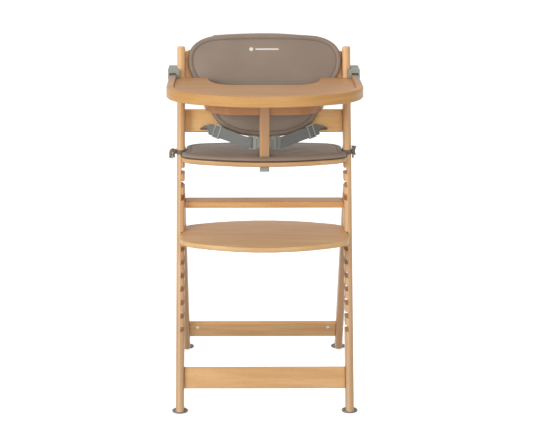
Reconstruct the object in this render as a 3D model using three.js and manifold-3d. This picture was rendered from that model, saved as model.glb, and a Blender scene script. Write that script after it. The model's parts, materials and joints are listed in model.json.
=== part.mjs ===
// A wooden high chair that grows with the child: two leaning posts with rear legs, a seat and a
// footrest that slide into grooves, a bentwood tray on plastic brackets, pads and a waist harness.
// Millimetres, +Z up, +X to the child's left as seen from the front, the front faces -Y.
// Inside this file Y = 0 is the middle of the front glides; the outer group centres the chair.
import * as THREE from 'three';
import { mergeVertices } from 'three/addons/utils/BufferGeometryUtils.js';
import Module from 'manifold-3d';

const wasm = await Module();
wasm.setup();

// ---- Driving dimensions ----
const GAP = 0.3; // clearance between pieces that touch
const CHAIR_MIDDLE_Y = 209; // middle of the chair's depth, from the front glides

const LEAN = THREE.MathUtils.degToRad(21); // posts lean back from vertical
const SPLAY = THREE.MathUtils.degToRad(32); // rear legs splay back from vertical
const POST_X = 190.5; // middle of each post and leg, from the chair's middle
const STOCK = 18; // thickness of posts and legs
const POST_WIDTH = 45; // depth of posts and legs across their run
const POST_TOP_Z = 785;
const EDGE_ROUND = 8.6; // rounding along the long edges of posts and legs, almost a half circle
const TOP_ROUND = 5; // smaller rounding round the top of a post
const INNER_X = POST_X - STOCK / 2;
const OUTER_X = POST_X + STOCK / 2;
const LEG_FOOT_Y = 486; // where a leg's middle line meets the floor
const REAR_GLIDE_Y = 494;

const GLIDE_RADIUS = 18;
const GLIDE_HEIGHT = 5;
const GLIDE_STEM = 3;
const GLIDE_STEM_TOP = 17;

const GROOVE_PITCH = 28.5;
const GROOVE_HEIGHT = 13.2;
const GROOVE_DEPTH = 8;
const SEAT_GROOVE_Z = 543.7; // the highest groove, which holds the seat
const SEAT_GROOVES = 4;
const FOOTREST_GROOVE_Z = 378.2; // the highest groove of the lower row, which holds the footrest
const FOOTREST_GROOVES = 8;
const BOARD_THICKNESS = 12.5;
const BOARD_HALF_WIDTH = INNER_X + GROOVE_DEPTH - 0.8;

const FRONT_RAIL = { z: 70.5, height: 48, thickness: 18 };
const MID_RAIL = { front: 170, back: 221, z: 437.2, thickness: 14.5 };
const REAR_RAIL = { y: 445, z: 62, height: 46, thickness: 12, boltRise: 11 };
const BACK_BOARD_FRONT = 5.6; // front of both back boards, behind the posts' middle plane
const BACK_BOARD_THICKNESS = 14;
const LOWER_BOARD = { z: 618.8, height: 52.5 };
const UPPER_BOARD = { bottom: 697, end: 771, crown: 803 };
const HARNESS_SLOT = { x: 133, z: 602.5, width: 26, height: 5 };

const TRAY_TOP_Z = 719;
const TRAY_PANEL_THICKNESS = 9;
const TRAY_BACK_Y = 247.4;
const TRAY_HALF_WIDTH = 216;
const TRAY_FRONT_Y = -94;
const TRAY_ARM_Y = 66; // the arms are straight behind this depth
const RIM_THICKNESS = 15;
const RIM_BOTTOM_Z = 704;
const RIM_TOP_Z = 728;
const RIM_ARM_END_Y = 300;
const BAND_THICKNESS = 7.5;
const BAND_BOTTOM_Z = 651;
const BAND_END_Y = 238;
const BELLY_FRONT_Y = 134; // middle of the tray's cut-out for the child
const CROTCH = { width: 22.2, thickness: 9.5, shoulder: 552, tenonBottom: 529 };
const SHOE = { width: 21.5, thickness: 8.5, bottom: 525 };
const BRACKET = {
  front: 236, step: 251.4, back: 312, top: 739, bottom: 697, plate: 4, outer: 219.4, lip: 193, above: 2.6,
};
const SUPPORT_PIN = { y: 267.2, z: 696, radius: 4, inner: 190, outer: 221 };

const SEAT_BOARD = { front: 104, frontBow: 31, back: 320, backBow: 24, corner: 38, run: 26 };
const FOOT_BOARD = { front: -25, frontBow: 40, back: 247, backBow: 34, corner: 38, run: 24 };
const SEAT_PAD = { bottom: 550.5, top: 562.5, front: 103, back: 302, ear: 187, side: 179.2 };
const BACK_PAD = { rear: -5.2, front: 14, top: 811, bottom: 585, halfWidth: 177, lobe: 123 };
const PAD_HOOD = {
  halfWidth: 119, top: 813, end: 808.5, bottom: 712, front: 5.5, room: 20, rear: 22.2, above: 1.2,
};
const TIE = { z: 556, height: 10, clear: 1, thickness: 1.3, lean: 2.5 };

const WEBBING = { width: 25, thickness: 1.5 };
const BUCKLE = { y: 140, z: 588, width: 34, height: 26, depth: 12 };
const STRAP_SLOT = { y: 155, width: 27, depth: 7 }; // slot through seat and pad for the crotch strap
const BOLT = { radius: 3, head: 6.5, headHeight: 2.6, length: 47, recess: 3.2 };
const NUT = { radius: 4.4, x: 161.5 };
const HOLE_CLEARANCE = 0.45; // round a bolt's shank
const DOWEL = { radius: 3, ahead: 18, behind: 12 };
const LEG_JOINT = { boltZ: 452, dowelZ: 470, x: POST_X + 4, head: 4.4, reach: 30 };
const TENON = { halfWidth: 8.5, halfDepth: 2.2 }; // of the crotch post, in its shoe
const CROTCH_SCREW = { radius: 2, head: 4.2, heights: [668, 694] };
const SLIDER = { distance: 15, length: 19, width: 30.5, depth: 5.6, rail: 2.4 };
const BUTTON = { radius: 6, front: 1.2, back: 5 };

// ---- Materials ----
function material(color, roughness, metalness = 0) {
  return new THREE.MeshStandardMaterial({ color, roughness, metalness });
}
const beech = material(0xd7a564, 0.5);
const beechEdge = material(0xc9955a, 0.55);
const leatherette = material(0x93836f, 0.6);
const piping = material(0x6e6255, 0.7);
const webbing = material(0x80827c, 0.8);
const greyPlastic = material(0x969b91, 0.45);
const glidePlastic = material(0x828278, 0.5);
const steel = material(0xb4b4b0, 0.35, 0.9);

// ---- Solids: three.js shapes turned into booleans and back ----
function solid(geometry) {
  const bare = geometry.clone();
  bare.deleteAttribute('normal');
  bare.deleteAttribute('uv');
  const merged = mergeVertices(bare, 1e-4);
  return new wasm.Manifold(new wasm.Mesh({
    numProp: 3,
    vertProperties: new Float32Array(merged.attributes.position.array),
    triVerts: new Uint32Array(merged.index.array),
  }));
}

function geometryOf(body) {
  const mesh = body.getMesh();
  const geometry = new THREE.BufferGeometry();
  geometry.setAttribute('position', new THREE.BufferAttribute(mesh.vertProperties, 3));
  geometry.setIndex(new THREE.BufferAttribute(mesh.triVerts, 1));
  geometry.computeVertexNormals();
  return geometry;
}

function cut(geometry, tools) {
  let body = solid(geometry);
  for (const tool of tools) {
    body = body.subtract(solid(tool));
  }
  return geometryOf(body);
}

function join(geometries) {
  let body = solid(geometries[0]);
  for (const geometry of geometries.slice(1)) {
    body = body.add(solid(geometry));
  }
  return geometryOf(body);
}

// What two geometries have in common
function common(first, second) {
  return geometryOf(solid(first).intersect(solid(second)));
}

function piece(name, geometry, finish) {
  const mesh = new THREE.Mesh(geometry, finish);
  mesh.name = name;
  return mesh;
}

// A box from its lowest corner to its highest corner
function boxBetween(low, high) {
  const size = high.map((value, i) => value - low[i]);
  const box = new THREE.BoxGeometry(...size);
  box.translate(low[0] + size[0] / 2, low[1] + size[1] / 2, low[2] + size[2] / 2);
  return box;
}

// A round bar between two points
function rod(radius, from, to, sides = 12) {
  const start = new THREE.Vector3(...from);
  const run = new THREE.Vector3(...to).sub(start);
  const bar = new THREE.CylinderGeometry(radius, radius, run.length(), sides);
  bar.translate(0, run.length() / 2, 0);
  const up = new THREE.Vector3(0, 1, 0);
  bar.applyQuaternion(new THREE.Quaternion().setFromUnitVectors(up, run.normalize()));
  bar.translate(start.x, start.y, start.z);
  return bar;
}

// An outline pulled through a thickness, with rounded edges of the given radius
function slab(shape, thickness, round = 0, curveSegments = 8, bevelSegments = 2) {
  const geometry = new THREE.ExtrudeGeometry(shape, {
    depth: thickness - 2 * round,
    bevelEnabled: round > 0,
    bevelThickness: round,
    bevelSize: round,
    bevelOffset: -round,
    bevelSegments,
    curveSegments,
  });
  geometry.translate(0, 0, round);
  return geometry;
}

// Outline seen from above (X, Y), from height low to height high
function flatSlab(shape, low, high, round, curveSegments) {
  const geometry = slab(shape, high - low, round, curveSegments);
  geometry.translate(0, 0, low);
  return geometry;
}

// Outline seen from the side (Y, Z), centred on x
function sideSlab(shape, x, thickness, round) {
  const geometry = slab(shape, thickness, round, 8, 3);
  geometry.translate(0, 0, x - thickness / 2);
  geometry.applyMatrix4(new THREE.Matrix4().set(0, 0, 1, 0, 1, 0, 0, 0, 0, 1, 0, 0, 0, 0, 0, 1));
  return geometry;
}

// Outline seen from the front (X, Z), between a front and a back depth
function frontSlab(shape, front, back, round, curveSegments) {
  const geometry = slab(shape, back - front, round, curveSegments);
  geometry.rotateX(Math.PI / 2);
  geometry.translate(0, back, 0);
  return geometry;
}

function rectangle(left, low, right, high) {
  const shape = new THREE.Shape();
  shape.moveTo(left, low);
  shape.lineTo(right, low);
  shape.lineTo(right, high);
  shape.lineTo(left, high);
  shape.closePath();
  return shape;
}

// ---- The leaning frame of the posts and the splayed frame of the legs ----
// Upright coordinates (x, back, up) are drawn first and then leaned as a whole.
function leaned(geometry) {
  return geometry.rotateX(-LEAN);
}

function splayed(geometry) {
  return geometry.rotateX(SPLAY).translate(0, LEG_FOOT_Y, 0);
}

// Distance up the posts' plane of a point at height z, set back from that plane
function upPost(z, back = 0) {
  return (z + back * Math.sin(LEAN)) / Math.cos(LEAN);
}

// Depth of a plane that lies a given way behind the posts' middle plane, at height z
function postY(z, back = 0) {
  return z * Math.tan(LEAN) + back / Math.cos(LEAN);
}

function grooveHeights() {
  const heights = [];
  for (let i = 0; i < SEAT_GROOVES; i += 1) {
    heights.push(SEAT_GROOVE_Z - i * GROOVE_PITCH);
  }
  for (let i = 0; i < FOOTREST_GROOVES; i += 1) {
    heights.push(FOOTREST_GROOVE_Z - i * GROOVE_PITCH);
  }
  return heights;
}

// Bolt holes through a post: [depth, height] of each
const POST_BOLTS = {
  front_rail: [postY(FRONT_RAIL.z), FRONT_RAIL.z],
  mid_rail: [178, MID_RAIL.z],
  lower_board: [postY(LOWER_BOARD.z, BACK_BOARD_FRONT + BACK_BOARD_THICKNESS / 2), LOWER_BOARD.z],
  upper_board: [postY(755, BACK_BOARD_FRONT + BACK_BOARD_THICKNESS / 2), 755],
};

function boltHole(y, z, side) {
  const reach = POST_X - BOLT.length;
  return rod(BOLT.radius + HOLE_CLEARANCE, [side * reach, y, z], [side * (OUTER_X + 5), y, z]);
}

// Room for the bolt's head, sunk into the outer face
function headRecess(y, z, side) {
  return rod(BOLT.head + 0.5, [side * (OUTER_X - BOLT.recess), y, z], [side * (OUTER_X + 5), y, z]);
}

// Round tool or piece square to the joint of leg and post, from ahead of that joint to behind it
function jointRod(radius, z, side, ahead, behind) {
  const rear = POST_WIDTH / 2;
  const start = [side * LEG_JOINT.x, rear - ahead, upPost(z, rear)];
  const end = [side * LEG_JOINT.x, rear + behind, upPost(z, rear)];
  return leaned(rod(radius, start, end));
}

function floorCut(y) {
  return boxBetween([-250, y - 90, -60], [250, y + 90, GLIDE_HEIGHT + GAP]);
}

function stemHole(y, side) {
  return rod(GLIDE_STEM + 0.4, [side * POST_X, y, -1], [side * POST_X, y, GLIDE_STEM_TOP + 1]);
}

function post(side) {
  const half = POST_WIDTH / 2;
  const top = POST_TOP_Z / Math.cos(LEAN) - 3;
  const bend = 16;
  const wide = half + 2;
  const crown = new THREE.Shape();
  crown.moveTo(-wide, -30);
  crown.lineTo(wide, -30);
  crown.lineTo(wide, top - bend);
  crown.quadraticCurveTo(wide, top, wide - bend, top);
  crown.lineTo(bend - wide, top);
  crown.quadraticCurveTo(-wide, top, -wide, top - bend);
  const stick = sideSlab(rectangle(-half, -20, half, top + 15), side * POST_X, STOCK, EDGE_ROUND);
  const bar = leaned(common(stick, sideSlab(crown, side * POST_X, STOCK + 2, TOP_ROUND)));
  const tools = [floorCut(0), stemHole(0, side)];
  for (const z of grooveHeights()) {
    const inner = side * (INNER_X - 5);
    const deep = side * (INNER_X + GROOVE_DEPTH);
    const low = [Math.min(inner, deep), postY(z) - 40, z - GROOVE_HEIGHT / 2];
    const high = [Math.max(inner, deep), postY(z) + 40, z + GROOVE_HEIGHT / 2];
    tools.push(boxBetween(low, high));
  }
  for (const [y, z] of Object.values(POST_BOLTS)) {
    tools.push(boltHole(y, z, side), headRecess(y, z, side));
  }
  const pin = SUPPORT_PIN;
  tools.push(rod(pin.radius + GAP, [side * (pin.inner - 0.5), pin.y, pin.z],
    [side * (OUTER_X + 5), pin.y, pin.z]));
  tools.push(jointRod(BOLT.radius + HOLE_CLEARANCE, LEG_JOINT.boltZ, side, LEG_JOINT.reach + 0.5, 5));
  tools.push(jointRod(DOWEL.radius + 0.4, LEG_JOINT.dowelZ, side, DOWEL.ahead + 0.5, 5));
  return cut(bar, tools);
}

function rearLeg(side) {
  const half = POST_WIDTH / 2;
  const outline = rectangle(-half, -20, half, 556);
  const bar = splayed(sideSlab(outline, side * POST_X, STOCK, EDGE_ROUND));
  const ahead = leaned(boxBetween([-250, -120, 300], [250, half + GAP, 700]));
  const tools = [floorCut(LEG_FOOT_Y), stemHole(REAR_GLIDE_Y, side), ahead,
    boltHole(REAR_BOLT_Y, REAR_BOLT_Z, side),
    headRecess(REAR_BOLT_Y, REAR_BOLT_Z, side),
    jointRod(BOLT.radius + HOLE_CLEARANCE, LEG_JOINT.boltZ, side, 5, 80),
    jointRod(LEG_JOINT.head + 0.5, LEG_JOINT.boltZ, side, -26, 80),
    jointRod(DOWEL.radius + 0.4, LEG_JOINT.dowelZ, side, 5, DOWEL.behind + 0.5)];
  return cut(bar, tools);
}

function frontRail() {
  const half = FRONT_RAIL.height / 2;
  const up = upPost(FRONT_RAIL.z);
  const outline = rectangle(GAP - INNER_X, up - half, INNER_X - GAP, up + half);
  const bar = leaned(frontSlab(outline, -FRONT_RAIL.thickness / 2, FRONT_RAIL.thickness / 2, 3));
  const [y, z] = POST_BOLTS.front_rail;
  const tools = [];
  for (const side of [-1, 1]) {
    tools.push(boltHole(y, z, side));
    tools.push(leaned(rod(NUT.radius + 0.4, [side * NUT.x, -6.5, up], [side * NUT.x, 20, up])));
  }
  return cut(bar, tools);
}

function midRail() {
  const { front, back, z, thickness } = MID_RAIL;
  const outline = rectangle(GAP - INNER_X, front, INNER_X - GAP, back);
  const bar = flatSlab(outline, z - thickness / 2, z + thickness / 2, 2.5);
  const [y, boltZ] = POST_BOLTS.mid_rail;
  return cut(bar, [boltHole(y, boltZ, -1), boltHole(y, boltZ, 1)]);
}

// The rear rail lies in the plane of the rear legs
const REAR_RAIL_UP = REAR_RAIL.z * Math.cos(SPLAY) - (REAR_RAIL.y - LEG_FOOT_Y) * Math.sin(SPLAY);
const REAR_RAIL_BACK = (REAR_RAIL.y - LEG_FOOT_Y) * Math.cos(SPLAY) + REAR_RAIL.z * Math.sin(SPLAY);

const REAR_BOLT_Y = REAR_RAIL.y - REAR_RAIL.boltRise * Math.sin(SPLAY);
const REAR_BOLT_Z = REAR_RAIL.z + REAR_RAIL.boltRise * Math.cos(SPLAY);

function rearRail() {
  const { height, thickness, boltRise } = REAR_RAIL;
  const nutUp = REAR_RAIL_UP + boltRise;
  const outline = rectangle(GAP - INNER_X, REAR_RAIL_UP - height / 2,
    INNER_X - GAP, REAR_RAIL_UP + height / 2);
  const bar = splayed(frontSlab(outline, REAR_RAIL_BACK - thickness / 2,
    REAR_RAIL_BACK + thickness / 2, 2));
  const tools = [];
  for (const side of [-1, 1]) {
    tools.push(boltHole(REAR_BOLT_Y, REAR_BOLT_Z, side));
    tools.push(splayed(rod(NUT.radius + 0.4, [side * NUT.x, REAR_RAIL_BACK - 20, nutUp],
      [side * NUT.x, REAR_RAIL_BACK + 20, nutUp])));
  }
  return cut(bar, tools);
}

function backBoardBolts(place) {
  const [y, z] = POST_BOLTS[place];
  return [boltHole(y, z, -1), boltHole(y, z, 1)];
}

function lowerBackBoard() {
  const back = BACK_BOARD_FRONT + BACK_BOARD_THICKNESS;
  const up = upPost(LOWER_BOARD.z, (BACK_BOARD_FRONT + back) / 2);
  const outline = rectangle(GAP - INNER_X, up - LOWER_BOARD.height / 2,
    INNER_X - GAP, up + LOWER_BOARD.height / 2);
  const board = leaned(frontSlab(outline, BACK_BOARD_FRONT, back, 3));
  const slot = HARNESS_SLOT;
  const tools = backBoardBolts('lower_board');
  for (const side of [-1, 1]) {
    tools.push(boxBetween(
      [side * slot.x - slot.width / 2, 200, slot.z - slot.height / 2],
      [side * slot.x + slot.width / 2, 300, slot.z + slot.height / 2]));
  }
  return cut(board, tools);
}

function upperBackBoard() {
  const back = BACK_BOARD_FRONT + BACK_BOARD_THICKNESS;
  const middle = (BACK_BOARD_FRONT + back) / 2;
  const edge = INNER_X - GAP;
  const low = upPost(UPPER_BOARD.bottom, middle);
  const end = upPost(UPPER_BOARD.end, middle);
  const crown = upPost(UPPER_BOARD.crown, middle);
  const outline = new THREE.Shape();
  outline.moveTo(-edge, low);
  outline.lineTo(edge, low);
  outline.lineTo(edge, end);
  outline.quadraticCurveTo(0, 2 * crown - end, -edge, end);
  const board = leaned(frontSlab(outline, BACK_BOARD_FRONT, back, 3, 14));
  return cut(board, backBoardBolts('upper_board'));
}

// ---- Seat and footrest boards ----
// A board with bowed front and back edges and straight sides for the grooves
function bowedOutline({ front, frontBow, back, backBow, corner, run }, halfWidth) {
  const inner = halfWidth - corner;
  const frontSide = front + frontBow + (2 * frontBow * corner) / inner;
  const backSide = back - backBow - (2 * backBow * corner) / inner;
  const shape = new THREE.Shape();
  shape.moveTo(-inner, front + frontBow);
  shape.quadraticCurveTo(0, front - frontBow, inner, front + frontBow);
  shape.quadraticCurveTo(halfWidth, frontSide, halfWidth, frontSide + run);
  shape.lineTo(halfWidth, backSide - run);
  shape.quadraticCurveTo(halfWidth, backSide, inner, back - backBow);
  shape.quadraticCurveTo(0, back + backBow, -inner, back - backBow);
  shape.quadraticCurveTo(-halfWidth, backSide, -halfWidth, backSide - run);
  shape.lineTo(-halfWidth, frontSide + run);
  shape.quadraticCurveTo(-halfWidth, frontSide, -inner, front + frontBow);
  return shape;
}

function grooveBoard(sizes, grooveZ) {
  const low = grooveZ - BOARD_THICKNESS / 2;
  const high = grooveZ + BOARD_THICKNESS / 2;
  return flatSlab(bowedOutline(sizes, BOARD_HALF_WIDTH), low, high, 4, 7);
}

const CROTCH_BACK_Y = BELLY_FRONT_Y - BAND_THICKNESS - GAP;
const CROTCH_FRONT_Y = CROTCH_BACK_Y - CROTCH.thickness;
const CROTCH_Y = (CROTCH_BACK_Y + CROTCH_FRONT_Y) / 2;

// Slot for the crotch post through seat and pad, with room round the post
function crotchSlotTool(low, high) {
  const halfWidth = CROTCH.width / 2 + 1.2;
  const halfDepth = CROTCH.thickness / 2 + 1.45;
  return boxBetween([-halfWidth, CROTCH_Y - halfDepth, low], [halfWidth, CROTCH_Y + halfDepth, high]);
}

function strapSlotTool(low, high) {
  const { y, width, depth } = STRAP_SLOT;
  return boxBetween([-width / 2, y - depth / 2, low], [width / 2, y + depth / 2, high]);
}

function seatBoard() {
  const board = grooveBoard(SEAT_BOARD, SEAT_GROOVE_Z);
  return cut(board, [crotchSlotTool(520, 570), strapSlotTool(520, 570)]);
}

// ---- Tray ----
// The tray's outer edge, moved inwards: from the right arm round the front to the left arm
function trayEdge(shape, inset) {
  const x = TRAY_HALF_WIDTH - inset;
  const front = TRAY_FRONT_Y + inset;
  const armBendY = 24 + 0.4 * inset;
  const bendX = 199 - 0.8 * inset;
  const bendY = -20 + 0.7 * inset;
  const cornerX = 162 - 0.5 * inset;
  const cornerY = -44 + 0.85 * inset;
  const afterX = cornerX - 46;
  const afterY = cornerY - 30;
  shape.lineTo(x, TRAY_ARM_Y);
  shape.bezierCurveTo(x, armBendY, bendX, bendY, cornerX, cornerY);
  shape.bezierCurveTo(afterX, afterY, TRAY_ARM_Y, front, 0, front);
  shape.bezierCurveTo(-TRAY_ARM_Y, front, -afterX, afterY, -cornerX, cornerY);
  shape.bezierCurveTo(-bendX, bendY, -x, armBendY, -x, TRAY_ARM_Y);
}

function trayRim() {
  const outer = TRAY_HALF_WIDTH;
  const inner = outer - RIM_THICKNESS;
  const whole = new THREE.Shape();
  whole.moveTo(outer, RIM_ARM_END_Y);
  trayEdge(whole, 0);
  whole.lineTo(-outer, RIM_ARM_END_Y);
  const hollow = new THREE.Shape();
  hollow.moveTo(inner, RIM_ARM_END_Y + 40);
  trayEdge(hollow, RIM_THICKNESS);
  hollow.lineTo(-inner, RIM_ARM_END_Y + 40);
  const body = flatSlab(whole, RIM_BOTTOM_Z, RIM_TOP_Z, 2.5, 8);
  return cut(body, [flatSlab(hollow, RIM_BOTTOM_Z - 5, RIM_TOP_Z + 5, 0, 8)]);
}

// The curve of the cut-out that the child sits in, moved outwards by a thickness
function bellyCurve(shape, out, end) {
  const side = 130 + out;
  const front = BELLY_FRONT_Y - out;
  shape.lineTo(side, end);
  shape.bezierCurveTo(side - 2, 208, 118 + out, front + 6, 70, front);
  shape.lineTo(-70, front);
  shape.bezierCurveTo(-118 - out, front + 6, 2 - side, 208, -side, end);
}

function trayPanel() {
  const inset = RIM_THICKNESS + GAP;
  const edge = TRAY_HALF_WIDTH - inset;
  const whole = new THREE.Shape();
  whole.moveTo(edge, TRAY_BACK_Y);
  trayEdge(whole, inset);
  whole.lineTo(-edge, TRAY_BACK_Y);
  const hollow = new THREE.Shape();
  hollow.moveTo(0, TRAY_BACK_Y + 40);
  hollow.lineTo(130, TRAY_BACK_Y + 40);
  bellyCurve(hollow, 0, TRAY_BACK_Y);
  hollow.lineTo(-130, TRAY_BACK_Y + 40);
  const low = TRAY_TOP_Z - TRAY_PANEL_THICKNESS;
  const body = flatSlab(whole, low, TRAY_TOP_Z, 0, 8);
  return cut(body, [flatSlab(hollow, low - 5, TRAY_TOP_Z + 5, 0, 8)]);
}

function bellyBand() {
  const top = TRAY_TOP_Z - TRAY_PANEL_THICKNESS - GAP;
  const whole = new THREE.Shape();
  whole.moveTo(0, BAND_END_Y);
  bellyCurve(whole, BAND_THICKNESS, BAND_END_Y);
  const hollow = new THREE.Shape();
  hollow.moveTo(0, BAND_END_Y + 20);
  hollow.lineTo(130, BAND_END_Y + 20);
  bellyCurve(hollow, 0, BAND_END_Y);
  hollow.lineTo(-130, BAND_END_Y + 20);
  const body = flatSlab(whole, BAND_BOTTOM_Z, top, 2, 8);
  const tools = [flatSlab(hollow, BAND_BOTTOM_Z - 5, top + 5, 0, 8)];
  for (const z of CROTCH_SCREW.heights) {
    tools.push(rod(CROTCH_SCREW.radius + 0.4, [0, BELLY_FRONT_Y - 20, z], [0, BELLY_FRONT_Y + 5, z]));
    tools.push(rod(CROTCH_SCREW.head + 0.4, [0, BELLY_FRONT_Y - 2.6, z], [0, BELLY_FRONT_Y + 5, z]));
  }
  return cut(body, tools);
}

function crotchPost() {
  const half = CROTCH.width / 2;
  const top = TRAY_TOP_Z - TRAY_PANEL_THICKNESS - GAP;
  const outline = rectangle(-half, CROTCH.shoulder, half, top);
  const bar = frontSlab(outline, CROTCH_FRONT_Y, CROTCH_BACK_Y, 1.5);
  const tenon = boxBetween(
    [-TENON.halfWidth, CROTCH_Y - TENON.halfDepth, CROTCH.tenonBottom],
    [TENON.halfWidth, CROTCH_Y + TENON.halfDepth, CROTCH.shoulder + 5]);
  const holes = [];
  for (const z of CROTCH_SCREW.heights) {
    holes.push(rod(CROTCH_SCREW.radius + 0.4, [0, CROTCH_FRONT_Y + 2.5, z], [0, CROTCH_BACK_Y + 5, z]));
  }
  return cut(join([bar, tenon]), holes);
}

function crotchShoe() {
  const halfWidth = SHOE.width / 2;
  const halfDepth = SHOE.thickness / 2;
  const top = CROTCH.shoulder - GAP;
  const outline = rectangle(-halfWidth, SHOE.bottom, halfWidth, top);
  const body = frontSlab(outline, CROTCH_Y - halfDepth, CROTCH_Y + halfDepth, 1);
  const pocket = boxBetween(
    [-TENON.halfWidth - GAP, CROTCH_Y - TENON.halfDepth - GAP, CROTCH.tenonBottom - GAP],
    [TENON.halfWidth + GAP, CROTCH_Y + TENON.halfDepth + GAP, top + 5]);
  return cut(body, [pocket]);
}

function crotchScrew(z) {
  const { radius, head } = CROTCH_SCREW;
  const points = [[0, 0], [radius, 0.8], [radius, 12.2], [head, 14.4], [head, 14.8], [0, 14.8]];
  const screw = new THREE.LatheGeometry(points.map(([x, y]) => new THREE.Vector2(x, y)), 12);
  screw.translate(0, CROTCH_FRONT_Y + 3, z);
  return screw;
}

function trayBracket(side) {
  const b = BRACKET;
  const armInner = TRAY_HALF_WIDTH - RIM_THICKNESS;
  const clear = OUTER_X + 0.7; // passes the post's outer face
  const sleeve = boxBetween([clear, b.step, b.bottom], [b.outer, b.back, b.top]);
  const nose = boxBetween([b.lip, b.front, TRAY_TOP_Z + 0.5], [b.outer, b.step + 1, b.top]);
  const cheek = boxBetween([TRAY_HALF_WIDTH - 2, b.front, b.bottom], [b.outer, b.step + 1, b.top]);
  const armSpace = boxBetween([armInner - GAP, b.front - 5, RIM_BOTTOM_Z - GAP],
    [TRAY_HALF_WIDTH + GAP, RIM_ARM_END_Y + GAP, RIM_TOP_Z + b.above]);
  const sideSpace = boxBetween([clear - 5, b.step + 2, RIM_BOTTOM_Z - GAP],
    [armInner, RIM_ARM_END_Y + GAP, b.top - b.plate]);
  const seat = rod(SUPPORT_PIN.radius + GAP, [150, SUPPORT_PIN.y, SUPPORT_PIN.z],
    [250, SUPPORT_PIN.y, SUPPORT_PIN.z]);
  const bracket = cut(join([sleeve, nose, cheek]), [armSpace, sideSpace, seat]);
  return side > 0 ? bracket : mirrored(bracket);
}

// The same piece on the other side of the chair
function mirrored(geometry) {
  const copy = geometry.clone();
  copy.scale(-1, 1, 1);
  const order = copy.index.array;
  for (let i = 0; i < order.length; i += 3) {
    [order[i], order[i + 1]] = [order[i + 1], order[i]];
  }
  copy.computeVertexNormals();
  return copy;
}

function supportPin(side) {
  const { y, z, radius, inner, outer } = SUPPORT_PIN;
  return rod(radius, [side * inner, y, z], [side * outer, y, z], 16);
}

// ---- Pads ----
function seatPad() {
  const { front, back, ear, side, bottom, top } = SEAT_PAD;
  const shape = new THREE.Shape();
  shape.moveTo(-150, front + 30);
  shape.quadraticCurveTo(0, front - 30, 150, front + 30);
  shape.quadraticCurveTo(ear, front + 45, ear, 168);
  shape.quadraticCurveTo(ear, 182, side, 184);
  shape.lineTo(side, 250);
  shape.quadraticCurveTo(side, 270, 150, back - 16);
  shape.quadraticCurveTo(0, back + 16, -150, back - 16);
  shape.quadraticCurveTo(-side, 270, -side, 250);
  shape.lineTo(-side, 184);
  shape.quadraticCurveTo(-ear, 182, -ear, 168);
  shape.quadraticCurveTo(-ear, front + 45, -150, front + 30);
  const pad = flatSlab(shape, bottom, top, 4, 6);
  return cut(pad, [crotchSlotTool(540, 570), strapSlotTool(540, 570)]);
}

function backPad() {
  const { rear, front, top, bottom, halfWidth, lobe } = BACK_PAD;
  const up = (z) => upPost(z);
  const shape = new THREE.Shape();
  shape.moveTo(0, up(bottom));
  shape.bezierCurveTo(60, up(bottom), 108, up(600), lobe, up(640));
  shape.bezierCurveTo(127, up(674), 128, up(684), 144, up(694));
  shape.bezierCurveTo(166, up(708), halfWidth, up(730), halfWidth, up(754));
  shape.bezierCurveTo(halfWidth, up(782), 158, up(800), 119, up(807));
  shape.quadraticCurveTo(80, up(top), 0, up(top));
  shape.quadraticCurveTo(-80, up(top), -119, up(807));
  shape.bezierCurveTo(-158, up(800), -halfWidth, up(782), -halfWidth, up(754));
  shape.bezierCurveTo(-halfWidth, up(730), -166, up(708), -144, up(694));
  shape.bezierCurveTo(-128, up(684), -127, up(674), -lobe, up(640));
  shape.bezierCurveTo(-108, up(600), -60, up(bottom), 0, up(bottom));
  return leaned(frontSlab(shape, -front, -rear, 5, 7));
}

// The hood of the back pad's cover, over the crown of the upper board and down its back
function padHood() {
  const { halfWidth, end, bottom, front, room, rear, above } = PAD_HOOD;
  const top = upPost(PAD_HOOD.top);
  const shape = new THREE.Shape();
  shape.moveTo(-halfWidth, upPost(bottom));
  shape.lineTo(halfWidth, upPost(bottom));
  shape.lineTo(halfWidth, upPost(end));
  shape.quadraticCurveTo(80, top, 0, top);
  shape.quadraticCurveTo(-80, top, -halfWidth, upPost(end));
  const middle = BACK_BOARD_FRONT + BACK_BOARD_THICKNESS / 2;
  const crown = upPost(UPPER_BOARD.crown, middle) + above;
  const side = upPost(UPPER_BOARD.end, middle) + above;
  const board = new THREE.Shape();
  board.moveTo(-INNER_X, upPost(bottom) - 50);
  board.lineTo(INNER_X, upPost(bottom) - 50);
  board.lineTo(INNER_X, side);
  board.quadraticCurveTo(0, 2 * crown - side, -INNER_X, side);
  return leaned(cut(frontSlab(shape, front, rear, 0, 10), [frontSlab(board, front - 5, room, 0, 14)]));
}

// A ribbon looped round the post, knotted on its outer side with two short tails
function cushionTie(side) {
  const { z, height, clear, thickness, lean } = TIE;
  const back = postY(z, POST_WIDTH / 2);
  const front = postY(z, -POST_WIDTH / 2);
  const low = [INNER_X - 0.4, front - clear - lean, z - height / 2];
  const high = [OUTER_X + clear, back + clear + lean, z + height / 2];
  const outside = boxBetween([low[0] - 0.8, low[1] - thickness, low[2]],
    [high[0] + thickness, high[1] + thickness, high[2]]);
  const inside = boxBetween([low[0], low[1], low[2] - 5], [high[0], high[1], high[2] + 5]);
  const knot = boxBetween([high[0] + 0.5, front + 2, z - 6], [high[0] + 9, front + 15, z + 7]);
  const tailFront = boxBetween([high[0] + 6, front - 4, z - 14], [high[0] + 17, front + 6, z - 2]);
  const tailBack = boxBetween([high[0] + 4, front + 10, z - 16], [high[0] + 8, front + 20, z - 1]);
  const tie = cut(join([outside, knot, tailFront, tailBack]), [inside]);
  return side > 0 ? tie : mirrored(tie);
}

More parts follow.
